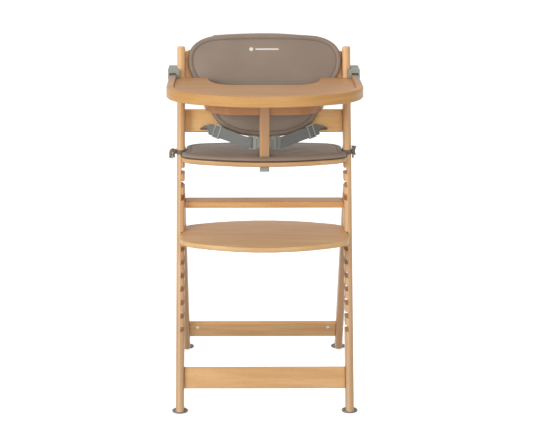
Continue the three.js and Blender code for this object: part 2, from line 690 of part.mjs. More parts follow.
// ---- Harness ----
// A flat strap through stations of place and width direction, straight between them
function ribbon(stations) {
  const places = stations.map(({ at }) => new THREE.Vector3(...at));
  const count = stations.length - 1;
  const corners = [];
  for (let i = 0; i <= count; i += 1) {
    const before = places[Math.max(i - 1, 0)];
    const after = places[Math.min(i + 1, count)];
    const along = new THREE.Vector3();
    along.add(after.clone().sub(places[i]).normalize());
    along.add(places[i].clone().sub(before).normalize());
    along.normalize();
    const across = new THREE.Vector3(...stations[i].wide);
    across.addScaledVector(along, -across.dot(along)).normalize();
    const normal = new THREE.Vector3().crossVectors(along, across);
    for (const [w, n] of [[-1, -1], [1, -1], [1, 1], [-1, 1]]) {
      const corner = places[i].clone();
      corner.addScaledVector(across, (w * WEBBING.width) / 2);
      corner.addScaledVector(normal, (n * WEBBING.thickness) / 2);
      corners.push(corner.x, corner.y, corner.z);
    }
  }
  const faces = [0, 2, 1, 0, 3, 2];
  for (let i = 0; i < count; i += 1) {
    for (let k = 0; k < 4; k += 1) {
      const a = 4 * i + k;
      const b = 4 * i + ((k + 1) % 4);
      faces.push(a, b, a + 4, b, b + 4, a + 4);
    }
  }
  const last = 4 * count;
  faces.push(last, last + 1, last + 2, last, last + 2, last + 3);
  const geometry = new THREE.BufferGeometry();
  geometry.setAttribute('position', new THREE.Float32BufferAttribute(corners, 3));
  geometry.setIndex(faces);
  geometry.computeVertexNormals();
  return geometry;
}

// The straight stretch of a waist strap, from near the slot to the buckle's tongue
const STRAP_TOP = new THREE.Vector3(118, 213, 603.5);
const STRAP_END = new THREE.Vector3(37.5, BUCKLE.y, BUCKLE.z);
const STRAP_RUN = STRAP_END.clone().sub(STRAP_TOP).normalize();
const STRAP_WIDE = new THREE.Vector3(-0.3, 0.134, 0.93);
STRAP_WIDE.addScaledVector(STRAP_RUN, -STRAP_WIDE.dot(STRAP_RUN)).normalize();

function waistStrap(side) {
  const slot = HARNESS_SLOT;
  const boardFront = postY(slot.z, BACK_BOARD_FRONT);
  const boardBack = postY(slot.z, BACK_BOARD_FRONT + BACK_BOARD_THICKNESS);
  const flat = [1, 0, 0];
  const bend = STRAP_TOP.clone().addScaledVector(STRAP_RUN, -9);
  const middle = STRAP_TOP.clone().lerp(STRAP_END, 0.6);
  const wide = STRAP_WIDE.toArray();
  const stations = [
    { at: [slot.x, boardBack + 9, slot.z], wide: flat },
    { at: [slot.x, boardFront + 8, slot.z], wide: flat },
    { at: [slot.x, boardFront - 2, slot.z], wide: flat },
    { at: [slot.x - 2.5, boardFront - 9, slot.z + 0.8], wide: [0.85, 0.4, 0.3] },
    { at: bend.toArray(), wide },
    { at: STRAP_TOP.toArray(), wide },
    { at: middle.toArray(), wide },
    { at: STRAP_END.toArray(), wide: [0, 0, 1] },
  ];
  const hem = boxBetween([slot.x - slot.width / 2 - 3, boardBack + 3.5, slot.z - 4],
    [slot.x + slot.width / 2 + 3, boardBack + 9, slot.z + 4]);
  const strap = join([ribbon(stations), hem]);
  return side > 0 ? strap : mirrored(strap);
}

// Places a piece drawn along X (run) with its width along Z on the straight strap
function onStrap(geometry, distance) {
  const normal = new THREE.Vector3().crossVectors(STRAP_WIDE, STRAP_RUN);
  const turn = new THREE.Matrix4().makeBasis(STRAP_RUN, normal, STRAP_WIDE);
  const place = STRAP_TOP.clone().addScaledVector(STRAP_RUN, distance);
  geometry.applyMatrix4(turn);
  return geometry.translate(place.x, place.y, place.z);
}

// A flat sleeve round the strap, open in front so that the strap shows between its two end bars
function strapSlider(side) {
  const { distance, length, width, depth, rail } = SLIDER;
  const outer = boxBetween([-length / 2, -depth / 2, -width / 2], [length / 2, depth / 2, width / 2]);
  const sleeve = boxBetween([-length, -1.4, rail - 0.5 - width / 2], [length, 1.4, width / 2 - rail + 0.5]);
  const window = boxBetween([rail - length / 2, 0, rail - width / 2],
    [length / 2 - rail, depth, width / 2 - rail]);
  const slider = onStrap(cut(outer, [sleeve, window]), distance);
  return side > 0 ? slider : mirrored(slider);
}

function buckleBody() {
  const { y, z, width, height, depth } = BUCKLE;
  const outline = rectangle(-width / 2, z - height / 2, width / 2, z + height / 2);
  const body = frontSlab(outline, y - depth / 2, y + depth / 2, 2);
  const well = rod(BUTTON.radius + 0.4, [0, y - depth, z], [0, y + 3.4, z], 20);
  const tongueSpace = boxBetween([-width, y - 2.3, z - 9.3], [width, y + 2.3, z + 9.3]);
  const middle = boxBetween([-8, y - 3, z - 10], [8, y + 3, z + 10]);
  const strapSpace = boxBetween([-WEBBING.width / 2 - 1, y - 1.5, z - height / 2 - 5],
    [WEBBING.width / 2 + 1, y + 1.5, z - height / 2 + 3]);
  const tongues = geometryOf(solid(tongueSpace).subtract(solid(middle)));
  return cut(body, [well, tongues, strapSpace]);
}

function buckleTongue(side) {
  const { y, z, width } = BUCKLE;
  const bladeEnd = 8 + GAP;
  const blade = boxBetween([bladeEnd, y - 2, z - 9], [width / 2 + 3, y + 2, z + 9]);
  const frame = boxBetween([width / 2 + 0.5, y - 3.2, z - 15.2], [35.8, y + 3.2, z + 15.2]);
  const window = boxBetween([26.8, y - 5, z - 13], [30, y + 5, z + 13]);
  const tongue = cut(join([blade, frame]), [window]);
  return side > 0 ? tongue : mirrored(tongue);
}

function buckleButton() {
  const { y, z, depth } = BUCKLE;
  const faceY = y - depth / 2 - BUTTON.front;
  return rod(BUTTON.radius, [0, faceY, z], [0, faceY + BUTTON.back, z], 20);
}

// The small return spring behind the button
function buttonSpring() {
  const { y, z, depth } = BUCKLE;
  const start = y - depth / 2 - BUTTON.front + BUTTON.back + 0.6;
  const end = y + 2.8;
  const turns = 2.5;
  const points = [];
  for (let i = 0; i <= 24; i += 1) {
    const angle = (i / 24) * turns * 2 * Math.PI;
    const along = start + ((end - start) * i) / 24;
    points.push(new THREE.Vector3(3.4 * Math.cos(angle), along, z + 3.4 * Math.sin(angle)));
  }
  const wire = new THREE.Shape().absarc(0, 0, 0.3, 0, 2 * Math.PI);
  const path = new THREE.CatmullRomCurve3(points);
  return new THREE.ExtrudeGeometry(wire, { steps: 36, extrudePath: path, curveSegments: 2 });
}

function crotchStrap() {
  const { y, z, height } = BUCKLE;
  const seatUnder = SEAT_GROOVE_Z - BOARD_THICKNESS / 2;
  const stations = [
    { at: [0, y, z - height / 2 + 2.4], wide: [1, 0, 0] },
    { at: [0, y + 1, z - height / 2 - 3], wide: [1, 0, 0] },
    { at: [0, STRAP_SLOT.y - 1, SEAT_PAD.top + 4], wide: [1, 0, 0] },
    { at: [0, STRAP_SLOT.y, SEAT_PAD.bottom], wide: [1, 0, 0] },
    { at: [0, STRAP_SLOT.y, seatUnder - 8], wide: [1, 0, 0] },
  ];
  return ribbon(stations);
}

// The moulded bar that the crotch strap is sewn round, under the seat
function strapStop() {
  const seatUnder = SEAT_GROOVE_Z - BOARD_THICKNESS / 2;
  const { y } = STRAP_SLOT;
  const bar = boxBetween([-16, y - 6, seatUnder - 7], [16, y + 6, seatUnder - 1]);
  const slot = boxBetween([-13.1, y - 1.4, seatUnder - 12], [13.1, y + 1.4, seatUnder + 5]);
  return cut(bar, [slot]);
}

// ---- Small repeated hardware ----
function glide() {
  const r = GLIDE_RADIUS;
  const h = GLIDE_HEIGHT;
  const points = [[0, 0], [r - 1, 0], [r, 1], [r, h - 1.5], [r - 2, h], [GLIDE_STEM, h],
    [GLIDE_STEM, GLIDE_STEM_TOP], [0, GLIDE_STEM_TOP]];
  const disc = new THREE.LatheGeometry(points.map(([x, y]) => new THREE.Vector2(x, y)), 18);
  return disc.rotateX(Math.PI / 2);
}

// A bolt along +X with its head at the outer end and a hexagon socket
function bolt() {
  const { radius, head, headHeight, length } = BOLT;
  const points = [[0, 0], [radius, 0], [radius, length], [head, length],
    [head, length + 1], [head - 2, length + headHeight], [0, length + headHeight]];
  const body = new THREE.LatheGeometry(points.map(([x, y]) => new THREE.Vector2(x, y)), 12);
  const socket = new THREE.CylinderGeometry(2, 2, 3, 6);
  socket.translate(0, length + headHeight, 0);
  const made = cut(body, [socket]);
  made.translate(0, -length, 0);
  return made.rotateZ(-Math.PI / 2);
}

function barrelNut(length) {
  const body = rod(NUT.radius, [0, -length / 2, 0], [0, length / 2, 0], 16);
  return cut(body, [rod(BOLT.radius + HOLE_CLEARANCE, [-10, 0, 0], [10, 0, 0])]);
}

// ---- Assembly ----
const SIDES = [['left', -1], ['right', 1]];
const chair = new THREE.Group();
chair.position.y = -CHAIR_MIDDLE_Y;

const frame = new THREE.Group();
const tray = new THREE.Group();
const seat = new THREE.Group();
const footrest = new THREE.Group();
const harness = new THREE.Group();
chair.add(frame, tray, seat, footrest, harness);

const boltShape = bolt();
const glideShape = glide();

function addBolt(name, side, y, z) {
  const mesh = piece(name, boltShape, steel);
  mesh.position.set(side * (OUTER_X - BOLT.recess + GAP), y, z);
  mesh.rotation.z = side > 0 ? 0 : Math.PI;
  frame.add(mesh);
}

function addGlide(name, side, y) {
  const mesh = piece(name, glideShape, glidePlastic);
  mesh.position.set(side * POST_X, y, 0);
  frame.add(mesh);
}

for (const [name, side] of SIDES) {
  frame.add(piece(`post_${name}`, post(side), beech));
  frame.add(piece(`rear_leg_${name}`, rearLeg(side), beech));
  for (const [place, [y, z]] of Object.entries(POST_BOLTS)) {
    addBolt(`${place}_bolt_${name}`, side, y, z);
  }
  addBolt(`rear_rail_bolt_${name}`, side, REAR_BOLT_Y, REAR_BOLT_Z);
  addGlide(`front_glide_${name}`, side, 0);
  addGlide(`rear_glide_${name}`, side, REAR_GLIDE_Y);

  const frontNut = piece(`front_rail_nut_${name}`, barrelNut(12), steel);
  const [nutY, nutZ] = POST_BOLTS.front_rail;
  frontNut.position.set(side * NUT.x, nutY, nutZ);
  frontNut.rotation.x = -LEAN;
  const rearNut = piece(`rear_rail_nut_${name}`, barrelNut(REAR_RAIL.thickness - 0.6), steel);
  rearNut.position.set(side * NUT.x, REAR_BOLT_Y, REAR_BOLT_Z);
  rearNut.rotation.x = SPLAY;
  frame.add(frontNut, rearNut);

  const legBolt = jointRod(BOLT.radius, LEG_JOINT.boltZ, side, LEG_JOINT.reach, 26.4);
  const legHead = jointRod(LEG_JOINT.head, LEG_JOINT.boltZ, side, -26.3, 29);
  frame.add(piece(`leg_bolt_${name}`, join([legBolt, legHead]), steel));
  const dowel = jointRod(DOWEL.radius, LEG_JOINT.dowelZ, side, DOWEL.ahead, DOWEL.behind);
  frame.add(piece(`leg_dowel_${name}`, dowel, beechEdge));
  frame.add(piece(`tray_support_pin_${name}`, supportPin(side), steel));
}
frame.add(piece('front_rail', frontRail(), beech));
frame.add(piece('mid_rail', midRail(), beech));
frame.add(piece('rear_rail', rearRail(), beech));
frame.add(piece('lower_back_board', lowerBackBoard(), beech));
frame.add(piece('upper_back_board', upperBackBoard(), beech));

seat.add(piece('seat_board', seatBoard(), beech));
seat.add(piece('seat_pad', seatPad(), leatherette));
seat.add(piece('back_pad', backPad(), leatherette));
seat.add(piece('pad_hood', padHood(), leatherette));
footrest.add(piece('footrest_board', grooveBoard(FOOT_BOARD, FOOTREST_GROOVE_Z), beech));

tray.add(piece('tray_panel', trayPanel(), beech));
tray.add(piece('tray_rim', trayRim(), beech));
tray.add(piece('belly_band', bellyBand(), beechEdge));
tray.add(piece('crotch_post', crotchPost(), beech));
tray.add(piece('crotch_shoe', crotchShoe(), greyPlastic));
tray.add(piece('crotch_screw_lower', crotchScrew(CROTCH_SCREW.heights[0]), steel));
tray.add(piece('crotch_screw_upper', crotchScrew(CROTCH_SCREW.heights[1]), steel));

for (const [name, side] of SIDES) {
  tray.add(piece(`tray_bracket_${name}`, trayBracket(side), greyPlastic));
  seat.add(piece(`pad_tie_${name}`, cushionTie(side), piping));
  harness.add(piece(`waist_strap_${name}`, waistStrap(side), webbing));
  harness.add(piece(`strap_slider_${name}`, strapSlider(side), greyPlastic));
  harness.add(piece(`buckle_tongue_${name}`, buckleTongue(side), greyPlastic));
}
harness.add(piece('buckle_body', buckleBody(), greyPlastic));
harness.add(piece('buckle_button', buckleButton(), greyPlastic));
harness.add(piece('button_spring', buttonSpring(), steel));
harness.add(piece('crotch_strap', crotchStrap(), webbing));
harness.add(piece('strap_stop', strapStop(), greyPlastic));

export default chair;
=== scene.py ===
"""A wooden high chair with pads and a waist harness: the looks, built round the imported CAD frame.

Lengths are in millimetres until a mesh is made, and depth is counted from the front glides, as in the
part's source; spot() turns such a place into the row frame's metres.
"""

import json
import math

import bmesh
import bpy
from mathutils import Matrix, Vector, noise
from mathutils.bvhtree import BVHTree
from mathutils.kdtree import KDTree

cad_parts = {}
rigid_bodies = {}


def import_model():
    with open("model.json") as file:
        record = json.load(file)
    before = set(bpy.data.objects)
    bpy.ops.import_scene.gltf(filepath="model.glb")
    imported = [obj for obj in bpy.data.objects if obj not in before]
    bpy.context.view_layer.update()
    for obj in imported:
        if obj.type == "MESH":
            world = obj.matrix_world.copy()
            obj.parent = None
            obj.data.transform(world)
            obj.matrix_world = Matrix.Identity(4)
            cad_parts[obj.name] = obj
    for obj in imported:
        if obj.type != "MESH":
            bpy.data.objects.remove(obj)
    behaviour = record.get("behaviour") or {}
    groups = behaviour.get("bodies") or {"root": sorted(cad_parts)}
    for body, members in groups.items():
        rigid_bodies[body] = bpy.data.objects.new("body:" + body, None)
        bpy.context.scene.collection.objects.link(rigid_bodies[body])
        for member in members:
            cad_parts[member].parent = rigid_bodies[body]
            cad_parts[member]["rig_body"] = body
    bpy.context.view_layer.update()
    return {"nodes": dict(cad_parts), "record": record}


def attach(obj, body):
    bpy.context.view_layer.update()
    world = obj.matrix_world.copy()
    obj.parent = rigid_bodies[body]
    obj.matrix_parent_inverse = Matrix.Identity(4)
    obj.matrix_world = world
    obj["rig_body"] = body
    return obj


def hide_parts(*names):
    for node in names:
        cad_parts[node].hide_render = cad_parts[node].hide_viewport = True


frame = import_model()
NODES = frame["nodes"]

MM = 0.001
MIDDLE = 209.0  # middle of the chair's depth, from the front glides
LEAN = math.radians(21)  # the posts lean back
SPLAY = math.radians(32)  # the rear legs splay back
POST_X = 190.5
STOCK = 18.0
POST_WIDTH = 45.0
GRAIN_STEPS = (733.0, 57.0, 91.0)  # moves the grain on from part to part, so that no two look alike


def spot(x, y, z):
    return Vector((x, y - MIDDLE, z)) * MM


def up_post(z, back=0.0):
    """Distance up the posts' plane of a point at height z, set back from that plane."""
    return (z + back * math.sin(LEAN)) / math.cos(LEAN)


def post_y(z, back=0.0):
    return z * math.tan(LEAN) + back / math.cos(LEAN)


def shade(tone, factor):
    return tuple(c * factor for c in tone)


def linear(red, green, blue):
    """A display colour, 0 to 255, as the linear colour that a shader takes."""
    return tuple(
        c / 12.92 if c <= 0.04045 else ((c + 0.055) / 1.055) ** 2.4
        for c in (red / 255, green / 255, blue / 255)
    )


# ---- Camera, floor and light ----
CAMERA_PLACE = (-0.0469, -3.966, 1.3006)  # metres
CAMERA_TURN = (-0.829, 12.905, 0.102)  # yaw, downward pitch and roll, in degrees
CAMERA_LENS = 117.88
SENSOR_WIDTH = 36.0
FLOOR_HALF = 400.0  # metres, so that the floor reaches nearly to the horizon
SIGHT = 1000.0  # metres, past the floor's far edge


def set_camera():
    yaw, pitch, roll = (math.radians(a) for a in CAMERA_TURN)
    ahead = Vector(
        (-math.sin(yaw) * math.cos(pitch), math.cos(yaw) * math.cos(pitch), -math.sin(pitch))
    )
    right = ahead.cross(Vector((0, 0, 1))).normalized()
    up = right.cross(ahead)
    turned_right = right * math.cos(roll) + up * math.sin(roll)
    turned_up = up * math.cos(roll) - right * math.sin(roll)
    data = bpy.data.cameras.new("camera")
    data.sensor_width = SENSOR_WIDTH
    data.lens = CAMERA_LENS
    data.clip_end = SIGHT
    camera = bpy.data.objects.new("camera", data)
    bpy.context.scene.collection.objects.link(camera)
    camera.matrix_world = Matrix.Translation(CAMERA_PLACE) @ Matrix(
        (turned_right, turned_up, -ahead)
    ).transposed().to_4x4()
    bpy.context.scene.camera = camera


def area_light(name, place, target, width, height, watts):
    data = bpy.data.lights.new(name, "AREA")
    data.shape = "RECTANGLE"
    data.size, data.size_y = width, height
    data.energy = watts
    light = bpy.data.objects.new(name, data)
    bpy.context.scene.collection.objects.link(light)
    light.location = place
    aim = Vector(target) - Vector(place)
    light.rotation_euler = aim.to_track_quat("-Z", "Y").to_euler()


def set_studio():
    scene = bpy.context.scene
    scene.view_settings.view_transform = "Standard"
    world = bpy.data.worlds.new("studio")
    world.use_nodes = True
    sky = world.node_tree
    up = sky.nodes.new("ShaderNodeSeparateXYZ")
    sky.links.new(sky.nodes.new("ShaderNodeTexCoord").outputs["Generated"], up.inputs[0])
    # Dim below the horizon, brightest just above it, and dimmer again straight up
    glow = sky.nodes.new("ShaderNodeValToRGB")
    sky.links.new(up.outputs["Z"], glow.inputs["Fac"])
    bands = glow.color_ramp.elements
    bands[0].position, bands[0].color = 0.0, (0.3, 0.3, 0.3, 1)
    bands[1].position, bands[1].color = 1.0, (0.38, 0.38, 0.38, 1)
    for position, level in ((0.002, 0.85), (0.3, 0.75)):
        bands.new(position).color = (level, level, level, 1)
    sky.links.new(glow.outputs["Color"], sky.nodes["Background"].inputs["Color"])
    scene.world = world
    area_light("key", (-2.4, -2.6, 1.5), (0, 0, 0.45), 1.4, 1.4, 52)
    area_light("front", (0.6, -3.9, 1.0), (0, 0, 0.4), 2.4, 1.6, 26)
    area_light("top", (-0.3, 0.9, 2.8), (0, 0, 0.4), 2.5, 2.5, 14)

    corners = [(x * FLOOR_HALF, y * FLOOR_HALF, 0) for x, y in ((-1, -1), (1, -1), (1, 1), (-1, 1))]
    mesh = bpy.data.meshes.new("floor")
    mesh.from_pydata(corners, [], [(0, 1, 2, 3)])
    floor = bpy.data.objects.new("floor", mesh)
    scene.collection.objects.link(floor)
    paint = bpy.data.materials.new("floor_paint")
    paint.use_nodes = True
    shader = paint.node_tree.nodes["Principled BSDF"]
    shader.inputs["Base Color"].default_value = (0.9, 0.9, 0.9, 1)
    shader.inputs["Roughness"].default_value = 0.9
    shader.inputs["Emission Color"].default_value = (1, 1, 1, 1)
    shader.inputs["Emission Strength"].default_value = 0.62
    mesh.materials.append(paint)
    floor.visible_diffuse = False  # so that the pale floor does not light the chair from below


# ---- Materials ----
class Finish:
    """A material, with short calls for its nodes."""

    def __init__(self, name, surface):
        self.material = bpy.data.materials.new(name)
        self.material.use_nodes = True
        self.tree = self.material.node_tree
        self.shader = self.tree.nodes["Principled BSDF"]
        self.fill(self.shader, surface)

    def fill(self, node, values):
        for key, value in values.items():
            socket = node.inputs[key]
            if isinstance(value, bpy.types.NodeSocket):
                self.tree.links.new(value, socket)
            else:
                socket.default_value = value

    def add(self, kind, values, **settings):
        node = self.tree.nodes.new("ShaderNode" + kind)
        for key, value in settings.items():
            setattr(node, key, value)
        self.fill(node, values)
        return node

    def place(self, factors=(1.0, 1.0, 1.0)):
        """Object coordinates in millimetres, times the factors."""
        coordinates = self.add("TexCoord", {}).outputs["Object"]
        return self.scaled(coordinates, [f / MM for f in factors])

    def along(self, attribute, factors):
        """A place stored on the mesh, in millimetres, times the factors."""
        stored = self.add("Attribute", {}, attribute_name=attribute).outputs["Vector"]
        return self.scaled(stored, factors)

    def scaled(self, vector, factors):
        return self.add("VectorMath", {0: vector, 1: factors}, operation="MULTIPLY").outputs[0]

    def noise(self, vector, detail=2.0, roughness=0.5, distortion=0.0):
        values = {"Vector": vector, "Scale": 1.0, "Detail": detail, "Roughness": roughness}
        return self.add("TexNoise", {**values, "Distortion": distortion}).outputs["Fac"]

    def math(self, operation, first, second=0.0):
        return self.add("Math", {0: first, 1: second}, operation=operation).outputs[0]

    def between(self, value, low, high, to_low=0.0, to_high=1.0):
        values = {"Value": value, "From Min": low, "From Max": high, "To Min": to_low, "To Max": to_high}
        return self.add("MapRange", values, interpolation_type="SMOOTHSTEP").outputs["Result"]

    def mixed(self, share, first, second, mode="MIX"):
        node = self.add("Mix", {}, data_type="RGBA", blend_type=mode)
        for index, value in ((0, share), (6, first), (7, second)):
            if isinstance(value, bpy.types.NodeSocket):
                self.tree.links.new(value, node.inputs[index])
            else:
                node.inputs[index].default_value = value if index == 0 else (*value, 1)
        return node.outputs[2]

    def dimmed(self, colour, level):
        """The colour times a level, which a node works out."""
        grey = self.add("CombineXYZ", {"X": level, "Y": level, "Z": level}).outputs[0]
        return self.mixed(1.0, colour, grey, "MULTIPLY")

    def pebbles(self):
        """The pebbled grain of the pads' covering."""
        values = {"Vector": self.place(), "Scale": 0.85, "Randomness": 1.0}
        return self.add("TexVoronoi", values, feature="SMOOTH_F1").outputs["Distance"]

    def bump(self, height, depth, under=None):
        values = {"Height": height, "Distance": depth * MM, "Strength": 1.0}
        if under is not None:
            values["Normal"] = under
        return self.add("Bump", values).outputs["Normal"]

    def finish(self, **values):
        names = {"colour": "Base Color", "rough": "Roughness", "normal": "Normal"}
        self.fill(self.shader, {names[key]: value for key, value in values.items()})
        return self.material


def beech(name, light, deep, rise=0.0, painted_reflection_tops=False, painted_shade_above=None):
    """Lacquered beech: broad figure, fine lines and the short dark flecks of its rays, along the grain.

    The wood can be painted paler towards its top by the rise (painted light), level faces towards the back
    can take a cooler, greyish painted reflection, and what is above a given height can be darkened by
    painted shade.
    """
    f = Finish(name, {"IOR": 1.46, "Coat Weight": 0.12, "Coat Roughness": 0.3})
    figure = f.noise(f.along("grain", (0.0045, 0.05, 0.05)), 3.0, 0.55, 0.5)
    lines = f.noise(f.along("grain", (0.011, 0.42, 0.42)), 5.0, 0.6)
    fleck = f.noise(f.along("grain", (0.17, 1.5, 1.5)), 1.0, 0.4)
    pores = f.noise(f.along("grain", (0.5, 5.0, 5.0)), 1.0, 0.4)
    colour = f.mixed(f.between(figure, 0.3, 0.7), deep, light)
    colour = f.mixed(f.between(lines, 0.5, 0.75, 0.0, 0.18), colour, shade(deep, 0.62))
    colour = f.mixed(f.between(fleck, 0.63, 0.72, 0.0, 0.3), colour, shade(deep, 0.42))
    colour = f.mixed(f.between(pores, 0.6, 0.75, 0.0, 0.12), colour, shade(deep, 0.45))
    place = f.add("SeparateXYZ", {"Vector": f.place()})
    # Painted light: by the rise the colour runs from darker at the foot to paler 800 mm up, for the light
    # that falls more on the upper parts.
    if rise:
        level = f.between(place.outputs["Z"], 0.0, 800.0, 1 - rise, 1 + rise)
        colour = f.dimmed(colour, level)
    # Painted shade: above the given height the colour falls to 0.3 of itself, for the shade in the crevice
    # under the seat pad's edge.
    if painted_shade_above is not None:
        level = f.between(place.outputs["Z"], painted_shade_above, painted_shade_above + 2.5, 1.0, 0.3)
        colour = f.dimmed(colour, level)
    # Painted reflection: level faces towards the back are blended towards a greyish pink, for the pale
    # surroundings mirrored at a grazing view.
    if painted_reflection_tops:
        normal = f.add("SeparateXYZ", {"Vector": f.add("NewGeometry", {}).outputs["Normal"]})
        faces_up = f.between(normal.outputs["Z"], 0.75, 0.97)
        near_back = f.between(place.outputs["Y"], -150.0, -30.0)
        share = f.math("MULTIPLY", faces_up, near_back)
        colour = f.mixed(f.math("MULTIPLY", share, 0.8), colour, linear(162, 143, 134))
    rough = f.between(lines, 0.3, 0.75, 0.36, 0.5)
    normal = f.bump(lines, 0.05)
    normal = f.bump(f.between(fleck, 0.6, 0.75), -0.03, normal)
    return f.finish(colour=colour, rough=rough, normal=normal)


def leatherette(name, tone):
    """Coated fabric with a pebbled grain, darkened by painted shade where the seam attribute is high."""
    f = Finish(name, {"IOR": 1.45, "Sheen Weight": 0.05, "Sheen Roughness": 0.5})
    pebbles = f.pebbles()
    creases = f.noise(f.place((0.35, 0.35, 0.35)), 6.0, 0.6, 0.4)
    patches = f.noise(f.place((0.012, 0.012, 0.012)), 2.0)
    seam = f.add("Attribute", {}, attribute_name="seam").outputs["Fac"]
    colour = f.mixed(f.between(patches, 0.3, 0.7), shade(tone, 0.94), shade(tone, 1.05))
    colour = f.mixed(f.between(pebbles, 0.25, 0.75, 0.0, 0.16), colour, shade(tone, 0.6))
    # Painted shade: where the seam attribute is high the colour goes towards a dark copy of the tone.
    colour = f.mixed(f.math("MULTIPLY", seam, 0.6), colour, shade(tone, 0.4))
    rough = f.between(creases, 0.3, 0.7, 0.42, 0.58)
    normal = f.bump(creases, 0.16)
    normal = f.bump(pebbles, -0.14, normal)
    return f.finish(colour=colour, rough=rough, normal=normal)


def woven(name, tone, along_period, across_period, depth):
    """Webbing or ribbon: two sets of threads over and under each other, on the strip's own coordinates."""
    f = Finish(name, {"IOR": 1.45, "Sheen Weight": 0.25, "Sheen Roughness": 0.45})
    split = f.add("SeparateXYZ", {"Vector": f.along("weave", (1.0, 1.0, 1.0))})
    warp = f.math("SINE", f.math("MULTIPLY", split.outputs["Y"], 2 * math.pi / across_period))
    weft = f.math("SINE", f.math("MULTIPLY", split.outputs["X"], 2 * math.pi / along_period))
    over = f.math("MULTIPLY", warp, weft)
    ribs = f.math("ADD", f.math("MULTIPLY", over, 0.5), f.math("MULTIPLY", warp, 0.35))
    fuzz = f.noise(f.along("weave", (1.4, 3.0, 1.0)), 4.0, 0.7)
    wear = f.noise(f.along("weave", (0.05, 0.12, 1.0)), 2.0)
    colour = f.mixed(f.between(ribs, -0.8, 0.8), shade(tone, 0.62), shade(tone, 1.12))
    colour = f.mixed(f.between(fuzz, 0.35, 0.75, 0.0, 0.3), colour, shade(tone, 1.3))
    colour = f.mixed(f.between(wear, 0.3, 0.7, 0.0, 0.25), colour, shade(tone, 0.75))
    rough = f.between(fuzz, 0.2, 0.8, 0.68, 0.9)
    normal = f.bump(ribs, depth)
    normal = f.bump(fuzz, 0.05, normal)
    return f.finish(colour=colour, rough=rough, normal=normal)


def moulded(name, tone, rough_low, rough_high):
    """Moulded plastic with a fine spark-eroded surface, faint flow marks and rubbed patches."""
    f = Finish(name, {"IOR": 1.49})
    spark = f.noise(f.place((3.2, 3.2, 3.2)), 3.0, 0.6)
    flow = f.noise(f.place((0.05, 0.05, 0.16)), 3.0, 0.5, 0.8)
    rubbed = f.noise(f.place((0.22, 0.22, 0.22)), 5.0, 0.65)
    colour = f.mixed(f.between(flow, 0.3, 0.7), shade(tone, 0.93), shade(tone, 1.06))
    colour = f.mixed(f.between(rubbed, 0.6, 0.8, 0.0, 0.2), colour, shade(tone, 1.3))
    rough = f.between(rubbed, 0.35, 0.7, rough_high, rough_low)
    return f.finish(colour=colour, rough=rough, normal=f.bump(spark, 0.05))


def plated(name, tone):
    """Zinc-plated steel with fine turning marks and a little dulling."""
    f = Finish(name, {"Metallic": 1.0})
    marks = f.noise(f.place((0.6, 6.0, 6.0)), 3.0, 0.6)
    dull = f.noise(f.place((0.3, 0.3, 0.3)), 4.0, 0.6)
    colour = f.mixed(f.between(dull, 0.35, 0.7), tone, shade(tone, 0.72))
    rough = f.between(dull, 0.3, 0.7, 0.24, 0.42)
    return f.finish(colour=colour, rough=rough, normal=f.bump(marks, 0.02))


def printed(name, tone):
    """Print on the pad: it takes the grain of what is under it, and is thin in places."""
    f = Finish(name, {"IOR": 1.45})
    pebbles = f.pebbles()
    colour = f.mixed(f.between(pebbles, 0.35, 0.8, 0.0, 0.3), tone, shade(tone, 0.7))
    rough = f.between(pebbles, 0.2, 0.8, 0.45, 0.6)
    return f.finish(colour=colour, rough=rough, normal=f.bump(pebbles, -0.1))


# The beech tones differ from part to part, partly as the wood's own tone and partly as painted light and
# shade: the back boards' copy is paler for the light that falls on them, the posts' copy paler upwards, the
# legs', crotch post's and tray panel's copies darker for the shade they stand in, and the seat board's top
# edge dark for the shade under its pad.
BEECH = beech("beech", linear(228, 185, 137), linear(214, 168, 117))
BEECH_POST = beech("beech_post", linear(228, 185, 136), linear(214, 168, 117), rise=0.17)
BEECH_BOARD = beech("beech_board", linear(236, 193, 138), linear(222, 176, 118))
BEECH_SEAT = beech("beech_seat", linear(228, 183, 131), linear(212, 164, 110), painted_shade_above=546.6)
BEECH_RAIL = beech("beech_rail", linear(228, 180, 121), linear(212, 160, 100))
BEECH_BACK = beech("beech_back", linear(248, 204, 142), linear(236, 187, 122))
BEECH_PANEL = beech("beech_panel", linear(213, 163, 112), linear(200, 147, 96))
BEECH_LEG = beech("beech_leg", linear(202, 158, 113), linear(189, 142, 96))
BEECH_BENT = beech("beech_bent", linear(217, 165, 95), linear(202, 142, 77), painted_reflection_tops=True)
# Painted shade: a darker copy of the bent beech for the belly band, which stands in the tray's shadow.
BEECH_PAINTED_SHADE = beech("beech_painted_shade", linear(193, 137, 86), linear(180, 121, 70))
LEATHERETTE = leatherette("taupe_leatherette", linear(151, 134, 119))
THREAD = woven("thread", linear(126, 112, 99), 0.9, 0.5, 0.05)
RIBBON = woven("taupe_ribbon", linear(134, 119, 103), 1.1, 0.8, 0.12)
WEBBING = woven("grey_webbing", linear(138, 142, 139), 1.7, 1.25, 0.22)
GREY_PLASTIC = moulded("grey_plastic", linear(154, 159, 149), 0.34, 0.5)
PALE_PLASTIC = moulded("pale_grey_plastic", linear(182, 186, 178), 0.34, 0.5)
GLIDE_PLASTIC = moulded("glide_plastic", linear(132, 132, 124), 0.4, 0.6)
STEEL = plated("zinc_plate", linear(200, 200, 196))
PRINT = printed("pale_print", linear(236, 234, 228))


# ---- Mesh helpers ----
def put(name, mesh, body, finish, slot, *stands_for):
    """A mesh as a piece of the chair that rides on a CAD body."""
    piece = bpy.data.objects.new(name, mesh)
    bpy.context.scene.collection.objects.link(piece)
    mesh.materials.clear()
    mesh.materials.append(finish)
    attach(piece, body)
    if stands_for:
        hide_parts(*stands_for)
    return piece


